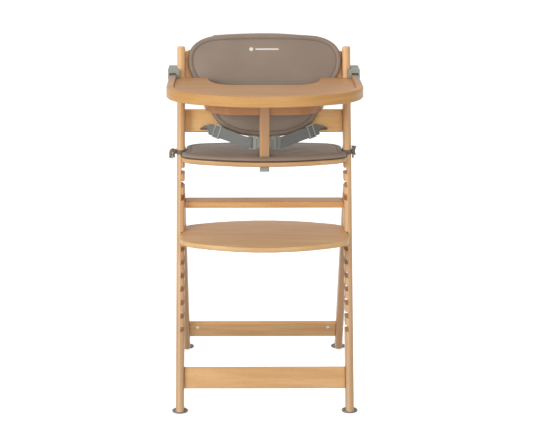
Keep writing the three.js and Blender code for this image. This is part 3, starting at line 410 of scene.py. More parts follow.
def mesh_of(name, points, faces):
    """A mesh from points in millimetres that are already in the row frame's place."""
    mesh = bpy.data.meshes.new(name)
    mesh.from_pydata([Vector(p) * MM for p in points], [], faces)
    mesh.validate()
    mesh.polygons.foreach_set("use_smooth", [True] * len(mesh.polygons))
    return mesh


def store(mesh, name, kind, values):
    attribute = mesh.attributes.new(name, kind, "POINT")
    key = "vector" if kind == "FLOAT_VECTOR" else "value"
    attribute.data.foreach_set(key, values)


def baked(mesh, modifiers):
    """The mesh after these modifiers, each given as (type, settings)."""
    helper = bpy.data.objects.new("helper", mesh)
    bpy.context.scene.collection.objects.link(helper)
    for kind, settings in modifiers:
        modifier = helper.modifiers.new(kind, kind)
        for key, value in settings.items():
            setattr(modifier, key, value)
    bpy.context.view_layer.update()
    made = bpy.data.meshes.new_from_object(helper.evaluated_get(bpy.context.evaluated_depsgraph_get()))
    bpy.data.objects.remove(helper)
    return made


def softened(mesh, width, segments=2):
    """Sharp edges get a small round, and flat faces keep flat shading."""
    sharp = 32  # degrees between two faces
    mesh.polygons.foreach_set("use_smooth", [True] * len(mesh.polygons))
    edges = {
        "width": width * MM,
        "segments": segments,
        "limit_method": "ANGLE",
        "angle_limit": math.radians(sharp),
        "use_clamp_overlap": True,
        "miter_outer": "MITER_ARC",
    }
    return baked(mesh, [("BEVEL", edges), ("WEIGHTED_NORMAL", {"keep_sharp": False, "weight": 60})])


def node_copy(node):
    """A CAD node's mesh with split corners merged and flat faces whole again."""
    work = bmesh.new()
    work.from_mesh(NODES[node].data)
    bmesh.ops.remove_doubles(work, verts=work.verts, dist=0.02 * MM)
    bmesh.ops.dissolve_limit(work, angle_limit=math.radians(1.5), verts=work.verts, edges=work.edges)
    mesh = bpy.data.meshes.new(node)
    work.to_mesh(mesh)
    work.free()
    for name in ("custom_normal", "sharp_face", "sharp_edge"):
        if name in mesh.attributes:
            mesh.attributes.remove(mesh.attributes[name])
    return mesh


def traced(start, *moves, steps=12):
    """Points of an outline: a move of one point is straight, of two or three is a Bezier curve."""
    points = [Vector(start)]
    for move in moves:
        hull = [points[-1]] + [Vector(p) for p in move]
        count = 1 if len(move) == 1 else steps
        for i in range(1, count + 1):
            level = list(hull)
            while len(level) > 1:
                level = [a.lerp(b, i / count) for a, b in zip(level, level[1:])]
            points.append(level[0])
    return points


def mirrored(half):
    """A closed outline from its right half, which runs from the middle line to the middle line."""
    left = [Vector((-p.x, p.y)) for p in reversed(half) if abs(p.x) > 1e-6]
    return half + left


def resampled(points, spacing, closed=True):
    """Evenly spaced points along a line."""
    line = points + [points[0]] if closed else points
    reach = [0.0]
    for a, b in zip(line, line[1:]):
        reach.append(reach[-1] + (b - a).length)
    count = max(2, round(reach[-1] / spacing))
    wanted = [reach[-1] * i / count for i in range(count if closed else count + 1)]
    made, k = [], 0
    for s in wanted:
        while k < len(line) - 2 and reach[k + 1] < s:
            k += 1
        span = reach[k + 1] - reach[k]
        made.append(line[k].lerp(line[k + 1], 0.0 if span < 1e-9 else (s - reach[k]) / span))
    return made


def eased(stations, rounds):
    """Pairs of place and width direction a millimetre apart along stations, with the corners rounded."""
    line = [(Vector(place), Vector(wide)) for place, wide in stations]
    made = []
    for (a, u), (b, w) in zip(line, line[1:]):
        steps = max(1, round((b - a).length))
        made += [(a.lerp(b, i / steps), u.lerp(w, i / steps)) for i in range(steps)]
    made.append(line[-1])
    for _ in range(rounds):
        inner = [
            ((p + 2 * q + r) / 4, (u + 2 * v + w) / 4)
            for (p, u), (q, v), (r, w) in zip(made, made[1:], made[2:])
        ]
        made = [made[0], *inner, made[-1]]
    return made


def band(name, runs, body, finish, slot, *stands_for):
    """Flat strips as one piece, with weave coordinates.

    Each run gives its stations, width, thickness, rounds of easing and the depth of its notched end. The
    length of a station's width direction scales the strip's width there.
    """
    points, faces, weave = [], [], []
    for stations, width, thickness, rounds, notch in runs:
        half, skin = width / 2, thickness / 2
        columns = (-0.94, -0.6, -0.2, 0.2, 0.6, 0.94)
        section = [(-1.0, 0.0), *((c, skin) for c in columns), (1.0, 0.0), *((-c, -skin) for c in columns)]
        line = eased(stations, rounds)
        last, count, start = len(line) - 1, len(section), len(points)
        for i, (place, wide) in enumerate(line):
            ahead = (line[min(i + 1, last)][0] - line[max(i - 1, 0)][0]).normalized()
            side = wide - ahead * wide.dot(ahead)
            scale = half * wide.length
            side.normalize()
            face = side.cross(ahead)
            for a, n in section:
                back = notch * (1 - abs(a)) * max(0.0, 1 - (last - i) / (2 * notch)) if notch else 0.0
                points.append(place + side * (a * scale) + face * n - ahead * back)
                weave += [float(i), a * scale, n]
        for i in range(last):
            a, b = start + i * count, start + (i + 1) * count
            for k in range(count):
                m = (k + 1) % count
                faces.append((a + k, a + m, b + m, b + k))
        faces.append(tuple(start + k for k in reversed(range(count))))
        faces.append(tuple(start + last * count + k for k in range(count)))
    mesh = mesh_of(name, [spot(*p) / MM for p in points], faces)
    store(mesh, "weave", "FLOAT_VECTOR", weave)
    return put(name, mesh, body, finish, slot, *stands_for)


# ---- Wood: the CAD solids with softened edges and their grain ----
def straight_grain(mesh, along, across, seed):
    along, across = Vector(along), Vector(across)
    third = along.cross(across)
    values = []
    for vertex in mesh.vertices:
        p = vertex.co / MM
        values += [axis.dot(p) + step * seed for axis, step in zip((along, across, third), GRAIN_STEPS)]
    store(mesh, "grain", "FLOAT_VECTOR", values)


def bent_grain(mesh, path, seed):
    """Grain that follows a bent strip, whose middle line is given as points (x, y)."""
    spacing = 3.0
    line = resampled(path, spacing, closed=False)
    tree = KDTree(len(line))
    for i, p in enumerate(line):
        tree.insert((p.x, p.y, 0.0), i)
    tree.balance()
    values = []
    for vertex in mesh.vertices:
        x, y = vertex.co.x / MM, vertex.co.y / MM + MIDDLE
        _, i, _ = tree.find((x, y, 0.0))
        a, b = line[max(i - 1, 0)], line[min(i + 1, len(line) - 1)]
        tangent = (b - a).normalized()
        offset = Vector((x, y)) - line[i]
        side = tangent.x * offset.y - tangent.y * offset.x
        grain = (spacing * i + tangent.dot(offset), vertex.co.z / MM, side)
        values += [value + step * seed for value, step in zip(grain, GRAIN_STEPS)]
    store(mesh, "grain", "FLOAT_VECTOR", values)


UP_POST = (0, math.sin(LEAN), math.cos(LEAN))
UP_LEG = (0, -math.sin(SPLAY), math.cos(SPLAY))
STRAIGHT_WOOD = {
    "post_left": (UP_POST, (1, 0, 0), BEECH_POST),
    "post_right": (UP_POST, (1, 0, 0), BEECH_POST),
    "rear_leg_left": (UP_LEG, (1, 0, 0), BEECH_LEG),
    "rear_leg_right": (UP_LEG, (1, 0, 0), BEECH_LEG),
    "front_rail": ((1, 0, 0), UP_POST, BEECH_RAIL),
    "mid_rail": ((1, 0, 0), (0, 1, 0), BEECH_RAIL),
    "rear_rail": ((1, 0, 0), UP_LEG, BEECH_RAIL),
    "lower_back_board": ((1, 0, 0), UP_POST, BEECH_BACK),
    "upper_back_board": ((1, 0, 0), UP_POST, BEECH_BACK),
    "seat_board": ((1, 0, 0), (0, 1, 0), BEECH_SEAT),
    "footrest_board": ((1, 0, 0), (0, 1, 0), BEECH_BOARD),
    "tray_panel": ((1, 0, 0), (0, 1, 0), BEECH_PANEL),
    "crotch_post": ((0, 0, 1), (1, 0, 0), BEECH_LEG),
}


def dress_wood():
    for seed, (node, (along, across, finish)) in enumerate(STRAIGHT_WOOD.items(), start=1):
        mesh = softened(node_copy(node), 0.7)
        straight_grain(mesh, along, across, seed)
        put("wood_" + node, mesh, NODES[node]["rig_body"], finish, "wood", node)
    bent = (
        ("tray_rim", RIM_PATH, 21, BEECH_BENT, "wood"),
        # The belly band takes the darker beech copy: painted shade for the tray's shadow.
        ("belly_band", BELLY_PATH, 22, BEECH_PAINTED_SHADE, "wood_shaded"),
    )
    for node, path, seed, finish, slot in bent:
        mesh = softened(node_copy(node), 0.6)
        bent_grain(mesh, path, seed)
        put("wood_" + node, mesh, "tray", finish, slot, node)


def both_sides(half):
    """A symmetrical open path (x, y) from its right half, which ends on the middle line."""
    return half + [Vector((-p.x, p.y)) for p in reversed(half[:-1])]


RIM_PATH = both_sides(
    traced(
        (208.5, 300),
        [(208.5, 66)],
        [(208.5, 27), (193, -15), (158, -38)],
        [(114, -68), (66, -86.5), (0, -86.5)],
    )
)
BELLY_PATH = both_sides(
    traced((133.7, 238), [(131.7, 208), (121.7, 136.3), (70, 130.3)], [(0, 130.3)])
)


# ---- Small hardware ----
def dress_hardware():
    finishes = {
        "grey_plastic": (GREY_PLASTIC, 0.9),
        "glide_plastic": (GLIDE_PLASTIC, 0.5),
        "steel": (STEEL, 0.35),
    }
    slots = {s["node"]: s["material_slot"] for s in frame["record"]["subparts"]}
    for node, obj in NODES.items():
        slot = slots[node]
        if slot in finishes and not obj.hide_render:
            finish, width = finishes[slot]
            if node == "button_spring":
                obj.data.materials.clear()
                obj.data.materials.append(finish)
                continue
            if node.startswith("strap_slider"):
                finish, width = PALE_PLASTIC, 0.6
            mesh = softened(node_copy(node), width, segments=3)
            put("part_" + node, mesh, obj["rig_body"], finish, slot, node)
        elif node.startswith("leg_dowel"):
            mesh = softened(node_copy(node), 0.4)
            straight_grain(mesh, (0, math.cos(LEAN), -math.sin(LEAN)), (1, 0, 0), 30)
            put("wood_" + node, mesh, obj["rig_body"], BEECH, slot, node)


# ---- Pads ----
class Pad:
    """A stuffed pad in its own plane: u and v along it, w out of its face, all in millimetres."""

    seam = 11.5  # from the outline to the seam between border and panel

    def __init__(self, outline, centre, matrix, levels, slots=()):
        self.outline = resampled(outline, 3.0)
        self.centre = Vector(centre)
        self.matrix = matrix
        self.back, self.middle, self.border, self.valley, self.crown = levels
        self.slots = slots
        fine = resampled(outline, 1.0)
        self.edge = KDTree(len(fine))
        for i, p in enumerate(fine):
            self.edge.insert((p.x, p.y, 0.0), i)
        self.edge.balance()

    def depth_in(self, u, v):
        """Distance from the outline."""
        return self.edge.find((u, v, 0.0))[2]

    def slot_gap(self, u, v):
        """Distance from the nearest slot, which is given by its middle and half sizes."""
        gaps = [math.hypot(max(abs(u - x) - a, 0.0), max(abs(v - y) - b, 0.0)) for x, y, a, b in self.slots]
        return min(gaps, default=1000.0)

    def to_row(self, u, v, w):
        return self.matrix @ Vector((u, v, w))

    def simulated(self, cap):
        """The panel swollen by cloth simulation, sewn down at its edge, its back and round its slots."""
        inner = [self.centre + (p - self.centre) * 0.985 for p in self.outline]
        low, high = self.valley - 7.0, self.valley
        count = len(inner)
        points = [(p.x, p.y, w) for w in (low, high) for p in inner]
        faces = [tuple(reversed(range(count))), tuple(range(count, 2 * count))]
        faces += [(i, (i + 1) % count, (i + 1) % count + count, i + count) for i in range(count)]
        slab = bpy.data.meshes.new("slab")
        slab.from_pydata([Vector(p) * MM for p in points], [], faces)
        voxels = {"mode": "VOXEL", "voxel_size": 5.0 * MM, "adaptivity": 0.0}
        mesh = baked(slab, [("REMESH", voxels)])
        start = [v.co / MM for v in mesh.vertices]
        cloth_piece = bpy.data.objects.new("cloth", mesh)
        bpy.context.scene.collection.objects.link(cloth_piece)
        sewn = cloth_piece.vertex_groups.new(name="sewn")
        for i, p in enumerate(start):
            held = p.z < low + 2.5 or self.depth_in(p.x, p.y) < self.seam or self.slot_gap(p.x, p.y) < 5.0
            sewn.add([i], 1.0 if held else 0.0, "REPLACE")
        cloth = cloth_piece.modifiers.new("cloth", "CLOTH")
        cloth.settings.quality = 4
        cloth.settings.mass = 0.3
        cloth.settings.bending_stiffness = 0.3
        cloth.settings.use_pressure = True
        cloth.settings.uniform_pressure_force = 4.0
        cloth.settings.vertex_group_mass = "sewn"
        cloth.settings.effector_weights.gravity = 0.0
        scene = bpy.context.scene
        for number in range(1, 21):
            scene.frame_set(number)
        swollen = cloth_piece.evaluated_get(bpy.context.evaluated_depsgraph_get()).to_mesh()
        moved = []
        for p, vertex in zip(start, swollen.vertices):
            step = vertex.co / MM - p
            length = step.length
            moved.append(p + step * (cap * math.tanh(length / cap) / length if length > 1e-6 else 0.0))
        cloth_piece.modifiers.clear()
        scene.frame_set(1)
        bpy.data.objects.remove(cloth_piece)
        mesh.vertices.foreach_set("co", [c for p in moved for c in p])
        smooth = baked(mesh, [("SUBSURF", {"levels": 2, "render_levels": 2})])
        return BVHTree.FromPolygons(
            [v.co.copy() for v in smooth.vertices], [tuple(f.vertices) for f in smooth.polygons]
        )

    def surface(self, cap, folds):
        """Height of the front face at a place, as a function: border, seam, then the swollen panel."""
        tree = self.simulated(cap)
        rise = self.crown - self.valley

        def height(u, v):
            depth = self.depth_in(u, v)
            if depth <= self.seam:
                x = depth / self.seam
                half = self.border - self.middle
                if x < 0.5:
                    return self.middle + half * math.sqrt(max(0.0, 1 - (1 - 2 * x) ** 2))
                drop = self.border - self.valley
                return self.border - drop * (0.5 - 0.5 * math.cos(math.pi * (2 * x - 1))) ** 1.5
            past = depth - self.seam
            swell = rise * (1 - math.exp(-past / 16.0))
            if tree is not None:
                hit = tree.ray_cast(Vector((u, v, 100.0)), Vector((0, 0, -1)))[0]
                if hit is not None:
                    swell = 0.45 * swell + 0.55 * rise / cap * (hit.z - self.valley)
            share = 1 - math.exp(-past / 2.2)
            near_slot = 1 - math.exp(-self.slot_gap(u, v) / 9.0)
            pucker = 0.32 * noise.noise(Vector((u / 7.0, v / 7.0, 3.1))) * math.exp(-past / 12.0)
            return self.valley + share * (swell * (0.35 + 0.65 * near_slot) + pucker + folds(u, v))

        return height

    def build(self, name, height, underside):
        """Fine mesh of the whole pad, with a seam attribute for painted shade: in the seam, round slots,
        underneath.
        """
        shares = [1 - 0.0045 * i for i in range(42)]
        inner = [shares[-1] * (1 - (i + 1) / 26) for i in range(25)]
        shares += inner
        count = len(self.outline)
        points, seam, faces = [], [], []

        # Painted shade: high in the crease of the seam and round the slots.
        def dark(u, v):
            depth = self.depth_in(u, v)
            value = math.exp(-(((depth - self.seam) / 1.3) ** 2))
            return max(value, math.exp(-((self.slot_gap(u, v) / 1.6) ** 2)))

        for share in shares:
            for p in self.outline:
                q = self.centre + (p - self.centre) * share
                points.append((q.x, q.y, height(q.x, q.y)))
                seam.append(dark(q.x, q.y))
        points.append((*self.centre, height(*self.centre)))
        seam.append(dark(*self.centre))
        back_start = len(points)
        back_shares = shares[1:12:2] + shares[12::6]
        # The underside's points get full painted shade through the seam attribute.
        for share in back_shares:
            for p in self.outline:
                q = self.centre + (p - self.centre) * share
                points.append((q.x, q.y, underside(q.x, q.y, self.depth_in(q.x, q.y))))
                seam.append(1.0)
        points.append((*self.centre, underside(*self.centre, 90.0)))
        seam.append(0.0)
        for i in range(count):
            j = (i + 1) % count
            for k in range(len(shares) - 1):
                a, b = k * count, (k + 1) * count
                faces.append((a + i, a + j, b + j, b + i))
            last = (len(shares) - 1) * count
            faces.append((last + i, last + j, back_start - 1))
            faces.append((j, i, back_start + i, back_start + j))
            for k in range(len(back_shares) - 1):
                a, b = back_start + k * count, back_start + (k + 1) * count
                faces.append((a + j, a + i, b + i, b + j))
            last = back_start + (len(back_shares) - 1) * count
            faces.append((last + j, last + i, len(points) - 1))
        mesh = bpy.data.meshes.new(name)
        mesh.from_pydata([self.to_row(*p) for p in points], [], faces)
        mesh.polygons.foreach_set("use_smooth", [True] * len(mesh.polygons))
        store(mesh, "seam", "FLOAT", seam)
        return mesh

    def ring(self, depth, spacing):
        """Points round the pad at a distance in from its outline."""
        made = []
        for p in resampled(self.outline, spacing):
            low, high = 0.5, 1.0
            for _ in range(14):
                half = (low + high) / 2
                q = self.centre + (p - self.centre) * half
                if self.depth_in(q.x, q.y) > depth:
                    low = half
                else:
                    high = half
            made.append(self.centre + (p - self.centre) * low)
        return resampled(made, spacing)


def tube_mesh(name, runs, radius, sides=6, closed=False):
    """Round strands along lists of row-frame points, as one mesh with weave coordinates."""
    points, faces, weave = [], [], []
    for run in runs:
        start, count = len(points), len(run)
        for i, p in enumerate(run):
            before = run[i - 1] if (i or closed) else p
            after = run[(i + 1) % count] if (i < count - 1 or closed) else p
            along = (after - before).normalized()
            upright = abs(along.z) > 0.95
            side = (along.orthogonal() if upright else along.cross(Vector((0, 0, 1)))).normalized()
            top = side.cross(along)
            slim = 1.0 if closed or 0 < i < count - 1 else 0.45
            for k in range(sides):
                turn = 2 * math.pi * k / sides
                offset = (side * math.cos(turn) + top * math.sin(turn)) * radius * slim
                points.append(p / MM + offset)
                weave += [i * 1.0, radius * turn, 0.0]
        for i in range(count if closed else count - 1):
            a, b = start + i * sides, start + ((i + 1) % count) * sides
            for k in range(sides):
                m = (k + 1) % sides
                faces.append((a + k, a + m, b + m, b + k))
        if not closed:
            faces.append(tuple(start + k for k in reversed(range(sides))))
            faces.append(tuple(start + (count - 1) * sides + k for k in range(sides)))
    mesh = mesh_of(name, points, faces)
    store(mesh, "weave", "FLOAT_VECTOR", weave)
    return mesh


def stitched(name, pad, height, depth, body):
    """A row of sewing stitches round a pad, a given distance in from its outline."""
    lift, step = 0.25, 3.6
    line = pad.ring(depth, step)
    runs = []
    for a, b in zip(line, line[1:] + line[:1]):
        run = []
        for share in (0.1, 0.3, 0.5, 0.7):
            q = a.lerp(b, share)
            dip = 0.5 * abs(share - 0.4)
            run.append(pad.to_row(q.x, q.y, height(q.x, q.y) + lift - dip))
        runs.append(run)
    return put(name, tube_mesh(name, runs, 0.32), body, THREAD, "ribbon")


def ridge(u, v, start, end, width, rise):
    """A soft fold along a line, highest at its start."""
    run = Vector(end) - Vector(start)
    offset = Vector((u, v)) - Vector(start)
    along = offset.dot(run) / run.length_squared
    across = (run.x * offset.y - run.y * offset.x) / run.length
    if not -0.15 < along < 1.15:
        return 0.0
    fade = math.sin(math.pi * min(1.0, max(0.0, (along + 0.15) / 1.3))) ** 0.6
    return rise * fade * math.exp(-((across / width) ** 2))


BACK_OUTLINE = mirrored(
    [
        Vector(p)
        for p in traced(
            (0, up_post(585)),
            [(60, up_post(585)), (108, up_post(600)), (123, up_post(640))],
            [(127, up_post(674)), (128, up_post(684)), (144, up_post(694))],
            [(166, up_post(708)), (177, up_post(730)), (177, up_post(754))],
            [(177, up_post(782)), (158, up_post(800)), (119, up_post(807))],
            [(80, up_post(811)), (0, up_post(811))],
            steps=20,
        )
    ]
)
SEAT_OUTLINE = mirrored(
    traced(
        (0, 103),
        [(75, 103), (150, 133)],
        [(187, 148), (187, 168)],
        [(187, 182), (179.2, 184)],
        [(179.2, 250)],
        [(179.2, 270), (150, 286)],
        [(75, 302), (0, 302)],
        steps=14,
    )
)
PAD_SHIFT = 2.0  # the back pad sits a little to one side
UPRIGHT = Matrix(((MM, 0, 0, 0), (0, 0, -MM, 0), (0, MM, 0, 0), (0, 0, 0, 1)))
LEANING = Matrix.Rotation(-LEAN, 4, "X")
POST_PLANE = Matrix.Translation((PAD_SHIFT * MM, -MIDDLE * MM, 0)) @ LEANING @ UPRIGHT
SEAT_PLANE = Matrix(((MM, 0, 0, 0), (0, MM, 0, -MIDDLE * MM), (0, 0, MM, 0), (0, 0, 0, 1)))
# Heights out of the plane: the back, the middle of the edge, the border, the seam and the panel's crown
BACK_LEVELS = (-4.6, 1.2, 7.2, 5.0, 13.4)
SEAT_LEVELS = (550.6, 555.0, 560.0, 558.8, 562.6)


def back_folds(u, v):
    """Faint drag lines of the covering between the corners."""
    value = 0.55 * noise.noise(Vector((u / 46.0, v / 95.0, 7.7)))
    value += ridge(u, v, (-150, up_post(720)), (-60, up_post(775)), 9.0, 0.5)
    value += ridge(u, v, (150, up_post(722)), (70, up_post(782)), 8.0, 0.45)
    value += ridge(u, v, (-118, up_post(690)), (-70, up_post(640)), 7.0, 0.5)
    value += ridge(u, v, (118, up_post(690)), (74, up_post(636)), 7.0, 0.5)
    return value


def seat_folds(u, v):
    """Folds that run outwards from the slot of the crotch post."""
    value = 0.4 * noise.noise(Vector((u / 40.0, v / 18.0, 1.3)))
    value += ridge(u, v, (-14, 126), (-118, 176), 5.0, 1.1)
    value += ridge(u, v, (-14, 120), (-104, 142), 4.0, -0.7)
    value += ridge(u, v, (-22, 150), (-90, 214), 7.0, 0.9)
    value += ridge(u, v, (14, 126), (124, 184), 5.5, 1.4)
    value += ridge(u, v, (14, 121), (128, 152), 4.5, -0.9)
    value += ridge(u, v, (26, 152), (82, 226), 8.0, 1.0)
    value += ridge(u, v, (40, 122), (150, 160), 4.0, 0.6)
    return value


def slot_binding(name, pad, height, body):
    """Narrow bindings round the pad's slots."""
    runs = []
    for x, y, a, b in pad.slots:
        corners = [(x - a, y - b), (x + a, y - b), (x + a, y + b), (x - a, y + b)]
        loop = resampled([Vector(c) for c in corners], 2.0)
        runs.append([pad.to_row(q.x, q.y, height(q.x, q.y) - 0.2) for q in loop])
    return put(name, tube_mesh(name, runs, 1.0, 8, closed=True), body, RIBBON, "ribbon")


def printed_mark(pad, height):
    """A small plain mark on the back pad: a dot and a bar, with no lettering."""
    points, faces = [], []

    def patch(columns, rows, place):
        start = len(points)
        for i in range(columns + 1):
            for j in range(rows + 1):
                u, v = place(i / columns, j / rows)
                points.append(pad.to_row(u, v, height(u, v) + 0.12) / MM)
        for i in range(columns):
            for j in range(rows):
                a = start + i * (rows + 1) + j
                faces.append((a, a + rows + 1, a + rows + 2, a + 1))

    middle = up_post(776)

    def dot(s, t):
        turn = 2 * math.pi * s
        return -31 + 4.6 * t * math.cos(turn), middle + 4.6 * t * math.sin(turn)

    def bar(s, t):
        rounded = min(1.0, 12 * s + 0.3, 12 * (1 - s) + 0.3)
        return -22 + 55 * s, middle + (t - 0.5) * 3.6 * rounded

    patch(28, 5, dot)
    patch(30, 4, bar)
    return put("back_pad_mark", mesh_of("back_pad_mark", points, faces), "frame", PRINT, "leatherette")


def cut_slots(mesh, pad, low, high):
    """The pad's mesh with its slots cut right through."""
    for x, y, a, b in pad.slots:
        work = bmesh.new()
        bmesh.ops.create_cube(work, size=1.0)
        for vertex in work.verts:
            c = vertex.co
            vertex.co = pad.to_row(x + 2 * a * c.x, y + 2 * b * c.y, (low + high) / 2 + (high - low) * c.z)
        tool_mesh = bpy.data.meshes.new("slot_tool")
        work.to_mesh(tool_mesh)
        work.free()
        tool = bpy.data.objects.new("slot_tool", tool_mesh)
        bpy.context.scene.collection.objects.link(tool)
        mesh = baked(mesh, [("BOOLEAN", {"object": tool, "operation": "DIFFERENCE", "solver": "EXACT"})])
        bpy.data.objects.remove(tool)
    return mesh


def make_pads():
    back = Pad(BACK_OUTLINE, (0, up_post(705)), POST_PLANE, BACK_LEVELS)
    height = back.surface(7.0, back_folds)

    def back_under(_u, _v, depth):
        return back.middle + (back.back - back.middle) * min(1.0, depth / 4.0) ** 0.5

    mesh = back.build("back_cushion", height, back_under)
    pad = put("back_cushion", mesh, "frame", LEATHERETTE, "leatherette", "back_pad")
    stitched("back_cushion_stitches", back, height, Pad.seam + 0.2, "frame")
    printed_mark(back, height)

    post_slot = (0, 121.2, 12.3, 5.9)
    strap_slot = (0, 155, 13.5, 3.0)
    seat = Pad(SEAT_OUTLINE, (0, 200), SEAT_PLANE, SEAT_LEVELS, (post_slot, strap_slot))
    flat_height = seat.surface(5.0, seat_folds)

    def droop(v, depth):
        """The front edge hangs a little over the board's rounded edge."""
        return 2.0 * max(0.0, 1 - depth / 9.0) ** 2 if v < 165 else 0.0

    def height(u, v):
        return flat_height(u, v) - droop(v, seat.depth_in(u, v))

    def seat_under(_u, v, depth):
        plump = seat.middle + (seat.back - seat.middle) * min(1.0, depth / 4.0) ** 0.5
        return plump - droop(v, depth)

    mesh = cut_slots(seat.build("seat_cushion", height, seat_under), seat, 545, 570)
    pad = put("seat_cushion", mesh, "frame", LEATHERETTE, "leatherette", "seat_pad")
    stitched("seat_cushion_stitches", seat, height, Pad.seam + 0.2, "frame")
    slot_binding("seat_cushion_binding", seat, height, "frame")


def make_hood():
    """The back pad's cover goes on over the crown of the upper board and down its back."""
    half, columns, rows = 119.0, 60, 88
    low = up_post(712)
    top_side, top_middle = up_post(808.5), up_post(813)
    board_half, board_middle = 181.2, 12.6  # half width of the upper board, and how far back its middle is
    crown_side, crown_middle = up_post(771, board_middle), up_post(803, board_middle)
    points, seam = [], []
    for i in range(columns + 1):
        x = half * (2 * i / columns - 1)
        top = top_side + (top_middle - top_side) * (1 - (x / half) ** 2) + 0.8
        top -= 1.8 * min(1.0, max(0.0, (x - 30) / 60))
        crown = crown_side + (crown_middle - crown_side) * (1 - (x / board_half) ** 2)
        wave = 0.5 * noise.noise(Vector((x / 31.0, 4.2, 0.0)))
        clear = crown + 2.4
        profile = [(-3.5, top - 6.0), (-3.0, top - 2.0), (0.5, top)]
        profile += [(8.0, 0.7 * top + 0.3 * clear + wave), (15.5, 0.3 * top + 0.7 * clear + wave)]
        profile += [(21.0, crown + 0.6), (22.2, crown - 5.0)]
        profile += [(22.1 + 0.5 * wave, crown - 20.0), (22.1, low + 9.0), (22.6, low + 6.0), (22.6, low)]
        line = resampled([Vector(p) for p in profile], 1.6, closed=False)
        for k in range(rows + 1):
            q = line[min(len(line) - 1, round(k * (len(line) - 1) / rows))]
            rough = 0.35 * noise.noise(Vector((x / 19.0, q.y / 27.0, 9.1)))
            back = q.x + (rough if q.x > 15 else 0.0)
            points.append(POST_PLANE @ Vector((x, q.y, -back)))
            # Painted shade in the seam attribute: along the hem's fold near the bottom of the back flap,
            # and along the seams 5 mm in from the sides.
            hem = math.exp(-(((q.y - low - 7.5) / 0.8) ** 2)) if q.x > 15 else 0.0
            seam.append(max(hem, math.exp(-(((half - abs(x) - 5) / 2.0) ** 2))))
    faces = []
    for i in range(columns):
        for k in range(rows):
            a = i * (rows + 1) + k
            faces.append((a, a + rows + 1, a + rows + 2, a + 1))
    mesh = bpy.data.meshes.new("back_pad_hood")
    mesh.from_pydata(points, [], faces)
    mesh.polygons.foreach_set("use_smooth", [True] * len(mesh.polygons))
    store(mesh, "seam", "FLOAT", seam)
    mesh = baked(mesh, [("SOLIDIFY", {"thickness": 1.3 * MM, "offset": -1.0})])
    put("back_pad_hood", mesh, "frame", LEATHERETTE, "leatherette", "pad_hood")


# ---- Ties of the seat pad ----
def mirrored_stations(stations):
    return [((-p[0], p[1], p[2]), (-w[0], w[1], w[2])) for p, w in stations]


def make_ties():
    z = 556.0
    middle = post_y(z)
    half_depth = POST_WIDTH / 2 / math.cos(LEAN)
    upright = (0, math.sin(LEAN), math.cos(LEAN))
    across, along = STOCK / 2 + 0.8, 10.0  # half sizes of the rounded ends of the loop

    def loop_point(turn, end):
        """On the rounded front (end -1) or back (end 1) of the loop."""
        y = middle + end * (half_depth - along + 0.9) + end * along * math.cos(turn)
        return (POST_X + across * math.sin(turn), y, z), upright

    loop = [((POST_X + across, middle - 8, z), upright), ((POST_X + across, middle + 14, z), upright)]
    loop += [loop_point(math.radians(a), 1) for a in (70, 35, 0, -35, -70)]
    loop += [((POST_X - across, middle + 14, z), upright), ((POST_X - across, middle - 14, z), upright)]
    loop += [loop_point(math.radians(a), -1) for a in (-70, -35, 0, 35, 70)]
    loop += [((POST_X + across, middle - 12, z), upright)]
    turns = [math.radians(a) for a in range(0, 420, 30)]
    knot = [((204.0 + 3.4 * math.cos(t), 197.5, z + 0.8 + 4.6 * math.sin(t)), (0, 1, 0.1)) for t in turns]
    core = [
        ((202.5, 191.8, z + 0.4), (0.3, 0, 0.9)),
        ((203.6, 195, z + 1), (0.3, 0, 0.8)),
        ((202.4, 204, z), (0.1, 0, 1)),
    ]
    up_tail = [
        ((203.0, 197.0, z + 1), (0.45, 0.1, 0)),
        ((204.5, 192.5, z + 5), (0.8, 0.3, -0.1)),
        ((204.8, 191.5, z + 10), (1.0, 0.35, 0.1)),
        ((205.4, 192.5, z + 15), (1.1, 0.25, 0.2)),
    ]
    down_tail = [
        ((203.0, 197.0, z + 1), (0.45, 0.1, 0)),
        ((205.0, 192.0, z - 2), (0.7, 0.3, 0.15)),
        ((205.6, 191.0, z - 7), (0.95, 0.3, -0.1)),
    ]
    hanging = [
        ((202.5, 200.0, z - 1), (0.2, 0.9, 0)),
        ((202.8, 199.0, z - 8), (0.3, 0.85, 0)),
        ((204.2, 197.5, z - 15), (0.45, 0.8, 0.1)),
    ]
    runs = [(loop, 10.4, 0.9, 2, 0), (knot, 9.0, 1.4, 1, 0), (core, 9.0, 3.8, 2, 0)]
    right = [(up_tail, 10.0, 1.1, 2, 2.5), (down_tail, 10.0, 1.1, 2, 2.5), (hanging, 9.0, 1.1, 2, 2.5)]
    band("pad_tie_ribbon_right", runs + right, "frame", RIBBON, "ribbon", "pad_tie_right")

    outer_tail = [
        ((202.5, 198.0, z + 1.5), (0.1, 0.3, 0.9)),
        ((207.0, 194.5, z + 5), (0.4, 0.5, 0.7)),
        ((211.5, 193.0, z + 4), (0.65, 0.6, 0.35)),
        ((213.0, 192.8, z - 2), (0.75, 0.55, 0)),
        ((212.6, 193.4, z - 15), (0.8, 0.5, 0)),
    ]
    inner_tail = [
        ((203.5, 198.0, z), (0.3, 0.6, 0)),
        ((206.5, 196.0, z - 5), (0.5, 0.6, 0.2)),
        ((205.4, 196.5, z - 14), (0.55, 0.7, 0)),
    ]
    left = [(outer_tail, 10.4, 1.1, 2, 2.5), (inner_tail, 8.6, 1.1, 2, 2.5)]
    runs = [(mirrored_stations(run[0]), *run[1:]) for run in runs + left]
    band("pad_tie_ribbon_left", runs, "frame", RIBBON, "ribbon", "pad_tie_left")


